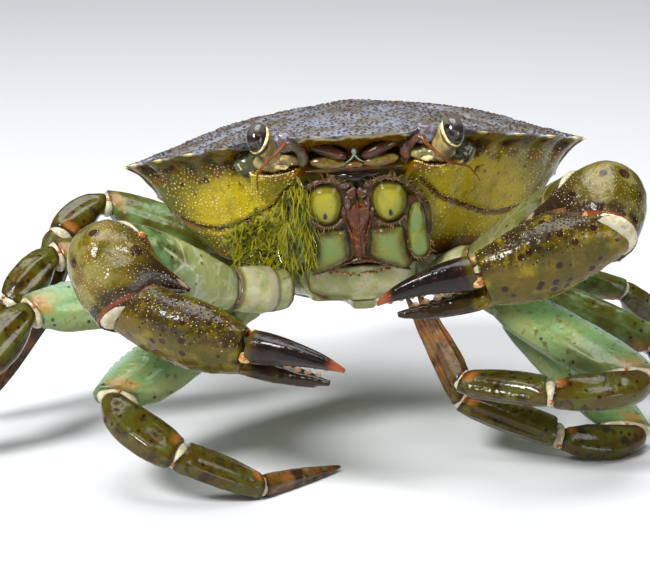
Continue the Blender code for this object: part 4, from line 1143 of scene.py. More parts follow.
def add_eye_collar(side, body):
    """Lay the skin collar round the back of a cornea whose points are given in mirrored body coordinates."""
    middle = (body.min(axis=0) + body.max(axis=0)) / 2
    half = (body.max(axis=0) - body.min(axis=0)) / 2
    first = perpendicular(Vector((0.0, 0.0, 1.0)), EYE_FACING)
    second = EYE_FACING.cross(first)
    ring = []
    for step in range(COLLAR_STEPS + 1):
        turn = math.tau * step / COLLAR_STEPS
        upward = first * math.cos(turn) * half[2] * 0.92
        sideward = second * math.sin(turn) * half[0] * 0.98
        ring.append(on_side(side, Vector(middle) + COLLAR_OFFSET + upward + sideward))
    shape = bmesh.new()
    add_tube(shape, ring, [0.25] * len(ring), 10)
    show(f"{side}_eye_collar", mesh_of(shape), "orbit_lobe")


class CRAB_OT_eyes(bpy.types.Operator):
    """Build the stalks, corneas and sockets of the eyes"""
    bl_idname = "crab.eyes"
    bl_label = "Eyes"

    def execute(self, context):
        shell = surface_of("carapace_shell")
        for side in SIDES:
            add_orbit_beads(side, shell)
            shift = on_side(side, EYE_SHIFT[side]) - body_point(0, 0, 0)
            add_eye_collar(side, add_cornea(side, shift))
            mesh = rounded(node_cage(f"{side}_eyestalk"), 3)
            write_points(mesh, read_points(mesh) + np.array(shift) * STALK_SHARE)
            lateral = read_normals(mesh) @ np.array(BODY_AXES.col[0]) * SIGN[side]
            paint_zones(mesh, smooth(lateral, 0.0, 0.45))
            show(f"{side}_eyestalk_shell", mesh, "eyestalk_skin", (f"{side}_eyestalk",))
            for name, (centre, radii, material) in EYE_LUMPS.items():
                mesh = blob_mesh(on_side(side, centre), BODY_AXES, radii, 32, 20)
                roughen(mesh, 0.22, 0.9)
                show(f"{side}_{name}", mesh, material)
        return {"FINISHED"}


class CRAB_OT_feelers(bpy.types.Operator):
    """Build the feelers, the small feelers in their pits and the strip between the pits"""
    bl_idname = "crab.feelers"
    bl_label = "Feelers"

    def execute(self, context):
        for side in SIDES:
            shape = bmesh.new()
            tube_through(shape, placed(side, FEELER_BASE), 17, 14, 0.1)
            add_blob(shape, on_side(side, FEELER_LUMP[0]), BODY_AXES, FEELER_LUMP[1])
            mesh = mesh_of(shape)
            roughen(mesh, 0.22, 0.9)
            show(f"{side}_feeler_base", mesh, "feeler_base", (f"{side}_antenna",))
            reach = len(FEELER_WHIP[side]) - 1
            whip = [(on_side(side, point), WHIP_ROOT_RADIUS - WHIP_TAPER * index / reach)
                    for index, point in enumerate(FEELER_WHIP[side])]
            show(f"{side}_feeler_whip", tube_mesh((whip, 61, 8, 0.22)), "feeler_whip")
            show(f"{side}_small_feeler", tube_mesh((placed(side, SMALL_FEELER), 21, 14)), "small_feeler",
                 (f"{side}_antennule",))
            centre, radii = PIT_LOBE
            lean = BODY_AXES @ Matrix.Rotation(PIT_LOBE_LEAN * SIGN[side], 3, "Y")
            show(f"{side}_pit_lobe", blob_mesh(on_side(side, centre), lean, radii, 32, 18), "pit_lobe")
        shape = bmesh.new()
        add_blob(shape, body_point(*SEPTUM[0]), BODY_AXES, SEPTUM[1])
        for side in SIDES:
            tube_through(shape, placed(side, SEPTUM_BRANCH), 11, 8)
        show("pit_septum", mesh_of(shape), "pit_septum")
        return {"FINISHED"}


# ---------------------------------------------------------------- mouth

# Mouth plates: (side, distance down the mouth field)
MOUTH_UPPER = ((1.9, 2.6), (2.2, 1.1), (3.2, 0.1), (4.9, 0.05), (6.3, 0.9), (6.85, 2.6), (6.6, 4.2),
               (5.7, 5.5), (4.3, 6.2), (3.0, 5.7), (2.2, 4.3))
MOUTH_LOWER = ((1.5, 7.6), (2.1, 6.9), (4.1, 6.9), (5.7, 6.9), (6.3, 7.7), (6.35, 9.5), (6.6, 11.2),
               (7.0, 12.6), (6.7, 13.7), (5.5, 13.9), (3.6, 13.2), (1.8, 12.2), (1.2, 11.2), (1.3, 9.3))
MOUTH_OUTER = ((6.9, 4.6), (7.7, 3.4), (8.7, 4.0), (9.2, 7.0), (9.5, 9.6), (9.3, 11.5), (8.2, 12.3),
               (6.95, 11.7), (6.5, 9.4), (6.55, 6.6))
MOUTH_WEDGE = ((0.0, 3.0), (1.9, 3.6), (1.7, 5.6), (1.2, 8.0), (0.8, 11.4), (0.0, 12.0), (-0.8, 11.4),
               (-1.2, 8.0), (-1.7, 5.6), (-1.9, 3.6))
MOUTH_SPOT = (4.4, 4.4)
MOUTH_CREASE = ((2.7, 6.9), (2.75, 11.5))
# Lines of the mouth field, drawn as thin tubes
MOUTH_FRAME = ((1.9, 0.0), (3.9, -0.45), (5.9, 0.0), (7.3, 1.2), (8.3, 2.6), (8.9, 3.7))
MOUTH_RIM = ((2.2, 5.3), (2.9, 6.1), (4.2, 6.55), (5.4, 6.15), (6.4, 5.3))
MOUTH_EDGE = ((0.0, 12.1), (1.9, 12.7), (4.3, 13.6), (6.7, 14.3))
MIDDLE_SEAM = ((0.0, 2.4), (0.0, 5.0), (0.0, 8.0), (0.0, 11.6))
WEDGE_SEAM = ((1.6, 6.0), (1.1, 8.0), (0.75, 10.0), (0.55, 11.8))
# Palps: place (side, down), radii (side, down)
PALPS = (((1.6, 0.3), (0.9, 0.5)), ((0.7, 1.4), (0.75, 0.9)), ((1.9, 4.3), (0.4, 1.1)),
         ((1.3, 2.8), (0.55, 1.2)))
# Lip: (side, up, radius)
LIP = ((-3.4, -2.25, 0.12), (-2.4, -2.6, 0.3), (-1.5, -2.45, 0.34), (-0.7, -2.75, 0.45), (0.0, -2.85, 0.5),
       (0.7, -2.75, 0.45), (1.5, -2.45, 0.34), (2.4, -2.6, 0.3), (3.4, -2.25, 0.12))
LIP_FRONT = 19.15
LIP_BOW = 0.06
LIP_BOSS = ((0.0, 19.0, -1.2), (1.15, 0.4, 0.45))
MOUTH_TOP = -2.6
MOUTH_FRONT = 17.85
MOUTH_SLOPE = 0.565
MOUTH_RUN = math.hypot(1.0, MOUTH_SLOPE)
# Steps of a cover plate's crown: (rise, whether it grows with the crown, inset)
PLATE_STEPS = ((0.45, False, 0.12), (0.6, True, 0.5), (0.4, True, 0.6))


def mouth_point(across, down, lift):
    """A row-frame point over the sloping mouth field."""
    up = MOUTH_TOP - down / MOUTH_RUN - lift * MOUTH_SLOPE / MOUTH_RUN
    forward = MOUTH_FRONT + MOUTH_SLOPE * (MOUTH_TOP - down / MOUTH_RUN) + lift / MOUTH_RUN
    return body_point(across, forward, up)


def mouth_line(side, line, lift, radius):
    """Knots (point, radius) of a line of the mouth field, at a lift over it."""
    return [(mouth_point(SIGN[side] * across, down, lift), radius) for across, down in line]


def mouth_plate(name, side, outline, lift, crown, material, spot=None, seam=None, edge=0.85):
    """A crowned plate of the mouth's cover, painted with a dark edge of painted shade, its spot and its seam.
    """
    sign = SIGN[side]
    outline = smooth_loop(outline)
    cage = bmesh.new()
    corners = [mouth_point(sign * across, down, lift) for across, down in outline]
    face = cage.faces.new([cage.verts.new(corner) for corner in corners])
    normal = (mouth_point(0, 0, 1) - mouth_point(0, 0, 0)) / MM
    top = [face]
    for rise, crowned, inset in PLATE_STEPS:
        height = rise * crown if crowned else rise
        made = bmesh.ops.extrude_face_region(cage, geom=top)["geom"]
        verts = [item for item in made if isinstance(item, bmesh.types.BMVert)]
        top = [item for item in made if isinstance(item, bmesh.types.BMFace)]
        middle = sum((vert.co for vert in verts), Vector()) / len(verts)
        for vert in verts:
            inward = middle - vert.co
            step = min(inset * MM, inward.length * 0.6)
            vert.co = vert.co + inward.normalized() * step + normal * height * MM
    bmesh.ops.recalc_face_normals(cage, faces=cage.faces)
    mesh = rounded(cage, 2, sharp_angle=math.radians(100))
    points = read_points(mesh)
    body = to_body(points)
    depth = (body[:, 1] - MOUTH_FRONT - MOUTH_SLOPE * body[:, 2]) / MOUTH_RUN
    down = (MOUTH_TOP - body[:, 2]) * MOUTH_RUN - depth * MOUTH_SLOPE
    plane = np.stack((body[:, 0] * sign, down), axis=1)
    # The dark rim along the outline is painted shade between the plates.
    rim = bell(line_distance(plane, outline + outline[:1]), edge)
    dot = bell(np.hypot(plane[:, 0] - spot[0], (plane[:, 1] - spot[1]) * 0.7), 0.42) if spot else 0.0
    line = bell(line_distance(plane, seam), 0.22) if seam else 0.0
    paint_zones(mesh, 0.0, rim, dot, line)
    if seam:
        lift_points(mesh, points, -0.18 * line)
    show(name, mesh, material)


class CRAB_OT_mouth(bpy.types.Operator):
    """Build the mouth's cover plates, palps, rims and lip"""
    bl_idname = "crab.mouth"
    bl_label = "Mouth"

    def execute(self, context):
        for side in SIDES:
            name = f"{side}_maxilliped"
            # The backing's dark brown is partly painted shade in the gaps between the plates.
            show(f"{name}_shell", rounded(node_cage(name), 3), "mouth_backing_and_shade", (name,))
            mouth_plate(f"{side}_mouth_upper", side, MOUTH_UPPER, 1.85, 0.75, "mouth_upper_plate",
                        spot=MOUTH_SPOT)
            mouth_plate(f"{side}_mouth_lower", side, MOUTH_LOWER, 1.75, 0.6, "mouth_lower_plate",
                        seam=MOUTH_CREASE, edge=1.3)
            mouth_plate(f"{side}_mouth_outer", side, MOUTH_OUTER, 1.75, 0.55, "mouth_lower_plate", edge=0.45)
            shape = bmesh.new()
            for (across, down), (wide, tall) in PALPS:
                centre = mouth_point(SIGN[side] * across, down, 2.0)
                add_blob(shape, centre, BODY_AXES, (wide, 0.6, tall), 20, 14)
            show(f"{side}_mouth_palps", mesh_of(shape), "mouth_palp")
            frame_line = mouth_line(side, MOUTH_FRAME, 1.8, 0.36)
            show(f"{side}_mouth_frame", tube_mesh((frame_line, 31)), "mouth_palp")
            rim_line = mouth_line(side, MOUTH_RIM, 2.3, 0.2)
            show(f"{side}_mouth_rim", tube_mesh((rim_line, 31)), "mouth_rim")
        mouth_plate("mouth_wedge", "left", MOUTH_WEDGE, 1.6, 0.5, "mouth_seam")
        seams = [(mouth_line("left", MIDDLE_SEAM, 2.65, 0.16), 21)]
        for side in SIDES:
            seams.append((mouth_line(side, MOUTH_EDGE, 1.85, 0.22), 21))
            seams.append((mouth_line(side, WEDGE_SEAM, 2.2, 0.14), 21))
        show("mouth_seams", tube_mesh(*seams), "mouth_seam")
        show("epistome_shell", rounded(node_cage("epistome"), 3), "mouth_backing_and_shade",
             ("epistome",))
        # The black lip is partly painted shade in the slit of the mouth.
        lip = [(body_point(side, LIP_FRONT - LIP_BOW * side ** 2, up), radius) for side, up, radius in LIP]
        show("mouth_lip_and_shade", tube_mesh((lip, 41, 10)), "mouth_lip_and_shade")
        centre, radii = LIP_BOSS
        show("lip_boss", blob_mesh(body_point(*centre), BODY_AXES, radii), "lip_boss")
        return {"FINISHED"}


# ---------------------------------------------------------------- claws

PALM_REACH = 17.0          # from the wrist to where the fixed finger starts
RIM_WIDTH = {"base": 0.8, "merus": 0.8, "carpus": 1.9}
ARM_FINISH = {"base": "wet_shell_claw_root", "merus": "wet_shell_claw_arm", "carpus": "wet_shell_wrist"}
LEFT_ARM_SHADE = 0.8       # the left arm's upper colours reach further down
# Foot and tip of the thorn of each claw's wrist, in body coordinates
THORN = {
    "right": ((-28.4, 28.8, -12.6), (-23.1, 28.2, -15.0)),
    "left": ((27.2, 29.6, -7.4), (22.2, 28.8, -9.0)),
}
TEETH = 7
TOOTH_START = 19.2
TOOTH_SPACING = 1.45


def claw_names(side):
    """Solids of one claw leg up to the palm."""
    return [f"{side}_claw_{part}" for part in ("base", "merus", "carpus", "palm")]


def palm_axes(side):
    """Along, upward and across directions of a palm, and its wrist, from the hinge of its moving finger."""
    wrist = nearest_caps(f"{side}_claw_palm", f"{side}_claw_carpus")[0]
    hinge = min(end_caps(f"{side}_claw_finger"), key=lambda cap: (cap.centre - wrist.centre).length)
    along = -hinge.normal
    up = perpendicular(hinge.centre - wrist.centre, along)
    return along, up, along.cross(up), wrist, hinge


def thorn_of(points, side):
    """Draw a claw's carpus out into its thorn; also the zones of its dark foot and of its pale tip."""
    foot, tip = (body_point(*place) for place in THORN[side])
    spot = min((Vector(point) for point in points), key=lambda point: (point - foot).length)
    reach = (tip - spot).length
    way = np.array((tip - spot).normalized())
    relative = points - np.array(spot)
    away = np.linalg.norm(relative - np.outer(relative @ way, way), axis=1) / MM
    near = bell(np.linalg.norm(relative, axis=1) / MM, 6.0)
    share = np.clip(0.45 * bell(away, 3.6) + 0.55 * bell(away, 1.25), 0.0, 1.0) * (near > 0.3)
    return points + np.outer(share * reach, way), 0.9 + 0.1 * bell(away, 5.0) * near, share ** 5


def dress_arm(section, part, side):
    """Round the base, merus or carpus of a claw leg, roughen it and paint its zones."""
    mesh = rounded(node_cage(section.name), 4 if part == "carpus" else 3)
    points = read_points(mesh)
    share, height, width = tube_frame(points, section)
    lumps = 0.12 * roughness_of(points, 2.0 * MM) + 0.05 * roughness_of(points, 0.8 * MM)
    points = points + read_normals(mesh) * (lumps * MM)[:, None]
    if part == "carpus":
        points = open_rim(points, section.tip_cap, -0.9 * smooth(-height, -0.75, 0.1), 1.4)
        points = open_rim(points, section.root_cap, -0.7, 1.4)
    rims = np.maximum(*(bell(rim_distance(points, cap), RIM_WIDTH[part])
                        for cap in (section.root_cap, section.tip_cap)))
    zone = share
    if part == "merus" and side == "left":
        height = height + LEFT_ARM_SHADE
    if part == "carpus":
        points, zone, share = thorn_of(points, side)
    write_points(mesh, points)
    paint_zones(mesh, halved(height), rims, zone, share)
    show(f"{section.name}_shell", mesh, ARM_FINISH[part], (section.name,))


def dress_palm(side):
    """Round and paint a palm with its fixed finger."""
    along, up, across, wrist, hinge = palm_axes(side)
    name = f"{side}_claw_palm"
    mesh = rounded(node_cage(name), 4)
    points = read_points(mesh)
    normals = read_normals(mesh)
    reach = (points - np.array(wrist.centre)) @ np.array(along)
    tip = wrist.centre + along * float(reach.max())
    section = Section(name, wrist.centre, tip, up, across, wrist, None)
    share, height, width = tube_frame(points, section, centred=False)
    distance = reach / MM
    finger = smooth(distance, 16.0, 19.5)
    lumps = 0.10 * roughness_of(points, 1.6 * MM) + 0.05 * roughness_of(points, 0.7 * MM)
    ridges = 0.06 * np.cos(np.arctan2(width, height) * 5) * finger
    belly = (0.85 * np.sin(math.pi * np.clip(distance / PALM_REACH, 0.0, 1.0)) - 0.3) * (1.0 - finger)
    facing = 1.0 - np.abs(normals @ np.array(along)) ** 2
    points = points + normals * ((lumps + ridges + belly * facing) * MM)[:, None]
    gap = rim_distance(points, wrist)
    points = open_rim(points, wrist, -0.9, 1.4)
    write_points(mesh, points)
    hinge_line = bell((points - np.array(hinge.centre)) @ np.array(along) / MM, 1.0) * (1.0 - finger)
    rims = np.maximum(bell(gap, 0.8), hinge_line * 0.6)
    crest = 0.5 + 0.5 * np.clip(height, -1, 1) * (1.0 - finger)
    paint_zones(mesh, crest, rims, 0.9 + 0.1 * finger)
    show(f"{name}_shell", mesh, "wet_shell_claw", (name,))


def dress_finger(side):
    """Round, ridge and paint the moving finger of a claw."""
    along, up, across, wrist, hinge = palm_axes(side)
    name = f"{side}_claw_finger"
    mesh = rounded(node_cage(name), 4)
    points = read_points(mesh)
    tip = max((Vector(point) for point in points), key=lambda point: (point - hinge.centre).length)
    way = (tip - hinge.centre).normalized()
    outer = perpendicular(up, way)
    section = Section(name, hinge.centre, tip, outer, way.cross(outer), hinge, None)
    share, height, width = tube_frame(points, section, centred=False)
    ridges = 0.05 * np.cos(np.arctan2(width, height) * 6)
    lift_points(mesh, points, ridges * smooth(share, 0.05, 0.2) * smooth(1.0 - share, 0.0, 0.3))
    paint_zones(mesh, halved(height), bell(share, 0.12), share)
    show(f"{name}_shell", mesh, "horn_finger", (name,))


class CRAB_OT_claws(bpy.types.Operator):
    """Carve and paint the two claw legs"""
    bl_idname = "crab.claws"
    bl_label = "Claws"

    def execute(self, context):
        for side in SIDES:
            for section, part in zip(limb_sections(claw_names(side)), ARM_FINISH):
                dress_arm(section, part, side)
            dress_palm(side)
            dress_finger(side)
        return {"FINISHED"}


def crest_chance(side):
    """How likely a grain is on each place of a palm: along its upper edge."""
    along, up, across, wrist, hinge = palm_axes(side)

    def chance(points):
        relative = points - np.array(wrist.centre)
        rise, reach, aside = (relative @ np.array(axis) / MM for axis in (up, along, across))
        length = smooth(reach, -1.0, 1.0) * smooth(PALM_REACH - reach, 0.0, 1.5)
        return smooth(rise, 2.6, 4.0) * length * (0.25 + smooth(2.2 - np.abs(aside), 0.0, 1.5))
    return chance


def wrist_chance(points):
    """How likely a bead is on each place of a wrist: in clouds."""
    return smooth(roughness_of(points, 4.0 * MM), -0.1, 0.25)


def add_teeth(side):
    """Stand the blunt teeth of both fingers of a claw on their shells."""
    along, up, across, wrist, hinge = palm_axes(side)
    shape = bmesh.new()
    for label, toward in (("palm", -up), ("finger", up)):
        shell = surface_of(f"{side}_claw_{label}_shell")
        for step in range(TEETH):
            reach = TOOTH_START + TOOTH_SPACING * step
            start = wrist.centre + (along * reach + up * (0.02 * reach - 0.4)) * MM
            spot, normal, _, _ = shell.ray_cast(start, toward, 4 * MM)
            if spot is None:
                continue
            size = 0.62 - 0.05 * abs(step - 1.5)
            axes = Matrix((along, across, normal)).transposed()
            add_blob(shape, spot - normal * size * 0.2 * MM, axes, (size, size * 1.25, size * 0.75), 14, 10)
    show(f"{side}_claw_teeth", mesh_of(shape), "finger_tooth")


def add_finger_knobs(side):
    """Set the knobs of the moving finger's hinge: one at each end and one under it."""
    along, up, across, wrist, hinge = palm_axes(side)
    axes = Matrix((across, up, along)).transposed()
    wide = hinge.reach * 0.78
    shape = bmesh.new()
    for offset, radius in ((across * wide, 0.75), (-across * wide, 0.75), (-up * wide * 0.95, 0.9)):
        add_blob(shape, hinge.centre + offset, axes, (radius, radius, radius * 1.2), 18, 12)
    show(f"{side}_finger_knobs", mesh_of(shape), "hinge_knob")


class CRAB_OT_claw_details(bpy.types.Operator):
    """Add the grains and beads of palms and wrists, the fingers' blunt teeth and their hinge knobs"""
    bl_idname = "crab.claw_details"
    bl_label = "Claw details"

    def execute(self, context):
        for number, side in enumerate(SIDES):
            palm = bpy.data.objects[f"{side}_claw_palm_shell"].data
            carpus = bpy.data.objects[f"{side}_claw_carpus_shell"].data
            crest = crest_chance(side)
            grain_piece(f"{side}_claw_crest", palm, 900, 0.42, 0.14, crest, SEEDS["crest"] + number,
                        "claw_grain")
            add_teeth(side)
            # Pale beads on the crest and the wrist are painted glints.
            grain_piece(f"{side}_claw_beads", palm, 500, 0.5, 0.075, crest, SEEDS["palm_beads"] + number,
                        "glint_bead")
            grain_piece(f"{side}_carpus_beads", carpus, 1800, 0.4, 0.065, wrist_chance,
                        SEEDS["wrist_beads"] + number, "glint_bead")
            add_finger_knobs(side)
        return {"FINISHED"}


# ---------------------------------------------------------------- walking legs

LEG_NUMBERS = range(2, 6)
LEG_FINISH = {
    "merus": "wet_shell_thigh",
    "carpus": "wet_shell_shin",
    "propodus": "wet_shell_shin",
    "dactyl": "wet_shell_toe",
}
LAST_FRONT_LEG = 3
ROOT_STEPS = 25
ROOT_RINGS = (10, 18)      # steps of a leg root's path at which it is waisted
ROOT_SPACING = 3.8
FIRST_ROOT_FORWARD = 4.5


def leg_names(side, number):
    """Solids of one leg, from the body outwards."""
    return [f"{side}_leg_{number}_{part}" for part in LEG_FINISH]


def no_pull(height, width):
    """An end that isn't cut back."""
    return 0.0


def under_cut(height, width):
    """An end that is open underneath, where the leg folds."""
    return 0.9 * smooth(-height, -0.4, 0.9)


def side_cut(height, width):
    """An end that is open at its two sides."""
    return 0.75 * np.abs(width) * (1.0 - np.clip(height ** 2, 0.0, 1.0))


def toe_cut(height, width):
    """An end that is open a little above and below."""
    return 0.35 * smooth(np.abs(height), 0.3, 1.0)


RIM_PULLS = {
    "merus": (no_pull, under_cut),
    "carpus": (under_cut, side_cut),
    "propodus": (side_cut, toe_cut),
    "dactyl": (toe_cut, no_pull),
}


def leg_relief(kind, share, height, width, turn):
    """Ridges and furrows of a leg's section, in millimetres outwards."""
    side_turn = np.degrees(np.abs(turn))
    inside = smooth(share, 0.06, 0.2) * smooth(1.0 - share, 0.04, 0.16)
    if kind == "merus":
        teeth = 0.72 + 0.28 * np.sin(share * math.tau * 24)
        keel = 0.34 * bell(side_turn, 11) * teeth
        fold = 0.16 * bell(side_turn - 118, 10) - 0.14 * bell(side_turn - 100, 12)
        collar = -0.35 * bell(share - 0.29, 0.018) - 0.3 * bell(share - 0.13, 0.015)
        return (keel + fold) * inside + collar
    if kind == "carpus":
        return (0.16 * bell(side_turn - 22, 10) - 0.2 * bell(side_turn - 50, 13)
                + 0.12 * bell(side_turn - 76, 10)) * inside
    if kind == "propodus":
        return (0.12 * bell(side_turn - 20, 10) - 0.22 * bell(side_turn - 48, 13)
                + 0.1 * bell(side_turn - 80, 12) - 0.14 * bell(side_turn - 112, 12)) * inside
    ridges = 0.13 * np.cos(turn * 6) - 0.05
    return ridges * smooth(share, 0.03, 0.15) * smooth(1.0 - share, 0.02, 0.4)


def dress_leg(section, kind, number):
    """Round a leg's section, carve it and paint its zones: outer side, rims, length and hinge patches."""
    mesh = rounded(node_cage(section.name), 4 if number == 2 else 3)
    points = read_points(mesh)
    normals = read_normals(mesh)
    share, height, width = tube_frame(points, section)
    turn = np.arctan2(width, height)
    along = np.array((section.tip - section.root).normalized())
    facing = 1.0 - np.abs(normals @ along) ** 4
    lift = leg_relief(kind, share, height, width, turn) + 0.07 * roughness_of(points, 2.2 * MM)
    points = points + normals * (lift * facing * MM)[:, None]
    caps = (section.root_cap, section.tip_cap)
    for cap, pull in zip(caps, RIM_PULLS[kind]):
        points = open_rim(points, cap, pull(height, width))
    write_points(mesh, points)
    root_gap, tip_gap = (rim_distance(points, cap) for cap in caps)
    rims = np.maximum(bell(root_gap, 0.9), bell(tip_gap, 0.9))
    knob = bell(tip_gap, 2.6) * smooth(np.abs(width), 0.55, 0.95)
    paint_zones(mesh, halved(height), rims, share, knob)
    # The hind thighs take a darker finish as painted shade.
    rear = kind == "merus" and number > LAST_FRONT_LEG
    material = "wet_shell_rear_thigh_shaded" if rear else LEG_FINISH[kind]
    show(f"{section.name}_shell", mesh, material, (section.name,))


class CRAB_OT_legs(bpy.types.Operator):
    """Carve and paint the eight walking legs"""
    bl_idname = "crab.legs"
    bl_label = "Legs"

    def execute(self, context):
        for side in SIDES:
            for number in LEG_NUMBERS:
                for section, part in zip(limb_sections(leg_names(side, number)), LEG_FINISH):
                    dress_leg(section, part, number)
        return {"FINISHED"}


class CRAB_OT_leg_roots(bpy.types.Operator):
    """Join the walking legs to the breast plate with their short first segments"""
    bl_idname = "crab.leg_roots"
    bl_label = "Leg roots"

    def execute(self, context):
        plate = to_body(read_points(frame["nodes"]["sternum"].data))
        low, high = plate.min(axis=0), plate.max(axis=0)
        for side in SIDES:
            for number in LEG_NUMBERS:
                thigh = limb_sections(leg_names(side, number))[0]
                anchor = body_point(SIGN[side] * high[0] * 0.5,
                                    FIRST_ROOT_FORWARD - ROOT_SPACING * (number - LEG_NUMBERS[0]),
                                    (low[2] + high[2]) / 2 - 0.5)
                inward = (thigh.root - thigh.tip).normalized()
                bend = thigh.root + inward * 0.35 * (thigh.root - anchor).length
                size = thigh.root_cap.reach / MM
                path = curve_points([anchor, anchor.lerp(bend, 0.5), bend, thigh.root - inward * 1.5 * MM],
                                    ROOT_STEPS)
                share = np.linspace(0.0, 1.0, ROOT_STEPS)
                waists = 1.0 - 0.20 * bell(share - 0.42, 0.04) - 0.16 * bell(share - 0.72, 0.035)
                shape = bmesh.new()
                add_tube(shape, path, size * (1.02 - 0.22 * share) * waists, 20)
                mesh = mesh_of(shape)
                points = roughen(mesh, 0.12, 1.6)
                away = [np.linalg.norm(points - np.array(path[place]), axis=1) for place in ROOT_RINGS]
                ring = np.min(away, axis=0)
                paint_zones(mesh, 0.5, bell(ring / MM - size * 0.85, 0.35), 0.6)
                show(f"{side}_leg_{number}_root", mesh, "wet_shell_claw_root")
        return {"FINISHED"}


# ---------------------------------------------------------------- joints

def hinge_between(first, second):
    """Where two neighbouring sections meet."""
    one, other = first.tip_cap, second.root_cap
    centre = (one.centre + other.centre) / 2
    along = (one.normal - other.normal).normalized()
    outer = perpendicular(first.outer, along)
    across = along.cross(outer)
    corners = [vert.co for name in (first.name, second.name) for vert in frame["nodes"][name].data.vertices
               if abs((vert.co - centre).dot(along)) < 0.6 * MM and (vert.co - centre).length < 9 * MM]
    spans = ([(corner - centre).dot(axis) for corner in corners] for axis in (outer, across))
    return Hinge(centre, along, outer, across, *((max(span) - min(span)) / 2 / MM for span in spans))


class CRAB_OT_joints(bpy.types.Operator):
    """Fill the joints of the legs and claws with soft skin and hinge knobs"""
    bl_idname = "crab.joints"
    bl_label = "Joint skins"

    def execute(self, context):
        for side in SIDES:
            limbs = {f"leg_{number}": leg_names(side, number) for number in LEG_NUMBERS}
            limbs["claw"] = claw_names(side)
            for limb, names in limbs.items():
                skins = bmesh.new()
                knobs = bmesh.new()
                sections = limb_sections(names)
                for index, (first, second) in enumerate(zip(sections, sections[1:])):
                    hinge = hinge_between(first, second)
                    axes = Matrix((hinge.across, hinge.outer, hinge.along)).transposed()
                    radii = (hinge.half_width * 0.88, hinge.half_height * 0.86, 1.2)
                    add_blob(skins, hinge.centre, axes, radii)
                    axis, half = hinge.across, hinge.half_width
                    if index == 1 and limb != "claw":
                        axis, half = hinge.outer, hinge.half_height
                    size = 0.06 * half + 0.22
                    for sign in (-1.0, 1.0):
                        spot = hinge.centre + axis * sign * (half - size * 1.05) * MM
                        add_blob(knobs, spot, axes, (size, size, size * 1.1), 16, 10)
                mesh = mesh_of(skins)
                roughen(mesh, 0.05, 0.7)
                show(f"{side}_{limb}_joint_skin", mesh, "wet_joint_skin")
                show(f"{side}_{limb}_hinge_knobs", mesh_of(knobs), "hinge_knob")
        return {"FINISHED"}


# ---------------------------------------------------------------- weed and bristles

# Centre and half size of the slime and of the standing tuft on the right cheek: (side, up)
WEED_SLIME = ((11.6, -10.8), (6.8, 3.9))
WEED_TUFT = ((7.6, -7.2), (1.9, 4.6))
WEED_BEHIND = 2.0          # no weed grows further back than this forward position
CURTAIN_THREADS = 260      # hung before the cheek, over the mouth field
THREAD_SIDES = 4
THREAD_TAPER = (1.0, 1.0, 0.9, 0.75, 0.5, 0.15)
THREAD_STEPS = len(THREAD_TAPER) - 1
THREAD_POINTS = (THREAD_SIDES + 1) * (THREAD_STEPS + 1)
MAP_DEPTH = 25.0           # body heights from -25 to 25 fill the bake's map
MAP_PATCH = 0.003          # size of a thread's patch in the bake's map
# Fringes of the mouth: line, lift, way (side, forward, up; the side is mirrored), threads, length
FRINGES = (
    (MOUTH_FRAME, 2.0, (0.0, -0.5, 1.0), 110, 1.5),
    (MOUTH_OUTER[4:9], 2.2, (1.0, -0.4, -0.3), 30, 1.0),
    (MOUTH_RIM, 2.3, (0.0, -1.0, -0.5), 30, 0.9),
    (MOUTH_EDGE, 2.0, (0.0, -0.8, 0.6), 30, 0.8),
)
BRISTLE_RADIUS = 0.055
BEFORE_FACE = 26.0         # forward position from which rays are cast back at the body


def root_map(mesh, roots):
    """Give each thread its own small patch of the bake's map, where its root stands round the body."""
    layer = mesh.uv_layers.new(name="OFBake")
    spots = to_body(np.array(roots))
    turn = (np.arctan2(spots[:, 0], spots[:, 1]) / math.tau) % 1.0
    rise = (spots[:, 2] + MAP_DEPTH) / (2 * MAP_DEPTH)
    loops = np.empty(len(mesh.loops), np.int32)
    mesh.loops.foreach_get("vertex_index", loops)
    owner = loops // THREAD_POINTS
    inside = (loops % THREAD_POINTS) / THREAD_POINTS * MAP_PATCH
    layer.data.foreach_set("uv", np.stack((turn[owner] + inside, rise[owner] + inside), axis=1).ravel())


def add_thread(shape, roots, root, way, reach, thick, droop, bend, draw):
    """Add one tapering thread that grows from a root, bends at random and droops."""
    path = [root]
    for _ in range(THREAD_STEPS):
        way = (way + Vector(draw.normal(0.0, bend, 3)) + Vector((0.0, 0.0, -droop))).normalized()
        path.append(path[-1] + way * reach / THREAD_STEPS * MM)
    add_tube(shape, path, [thick * share for share in THREAD_TAPER], THREAD_SIDES)
    roots.append(root)


def show_threads(name, shape, roots, material):
    """Show threads as one piece with the bake's map."""
    bmesh.ops.recalc_face_normals(shape, faces=shape.faces)
    mesh = plain_mesh("threads", shape)
    root_map(mesh, roots)
    show(name, mesh, material, sharp=SMALL_SHARP)


def inside_weed(body, patch):
    """How far inside a patch of the right cheek each place lies."""
    (side, up), (wide, tall) = patch
    away = ((body[:, 0] + side) / wide) ** 2 + ((body[:, 2] - up) / tall) ** 2
    return np.clip(1.2 - away, 0.0, 1.0)


def slime_chance(points):
    """How likely a lump of slime is on each place of the shell."""
    body = to_body(points)
    patches = 0.5 + roughness_of(points, 2.5 * MM)
    return inside_weed(body, WEED_SLIME) * np.clip(patches, 0.05, 1.0) * (body[:, 1] > WEED_BEHIND)


def weed_chance(points):
    """How likely a thread of weed is rooted on each place of the shell."""
    body = to_body(points)
    return (2.0 * inside_weed(body, WEED_TUFT) + 0.5 * slime_chance(points)) * (body[:, 1] > WEED_BEHIND)


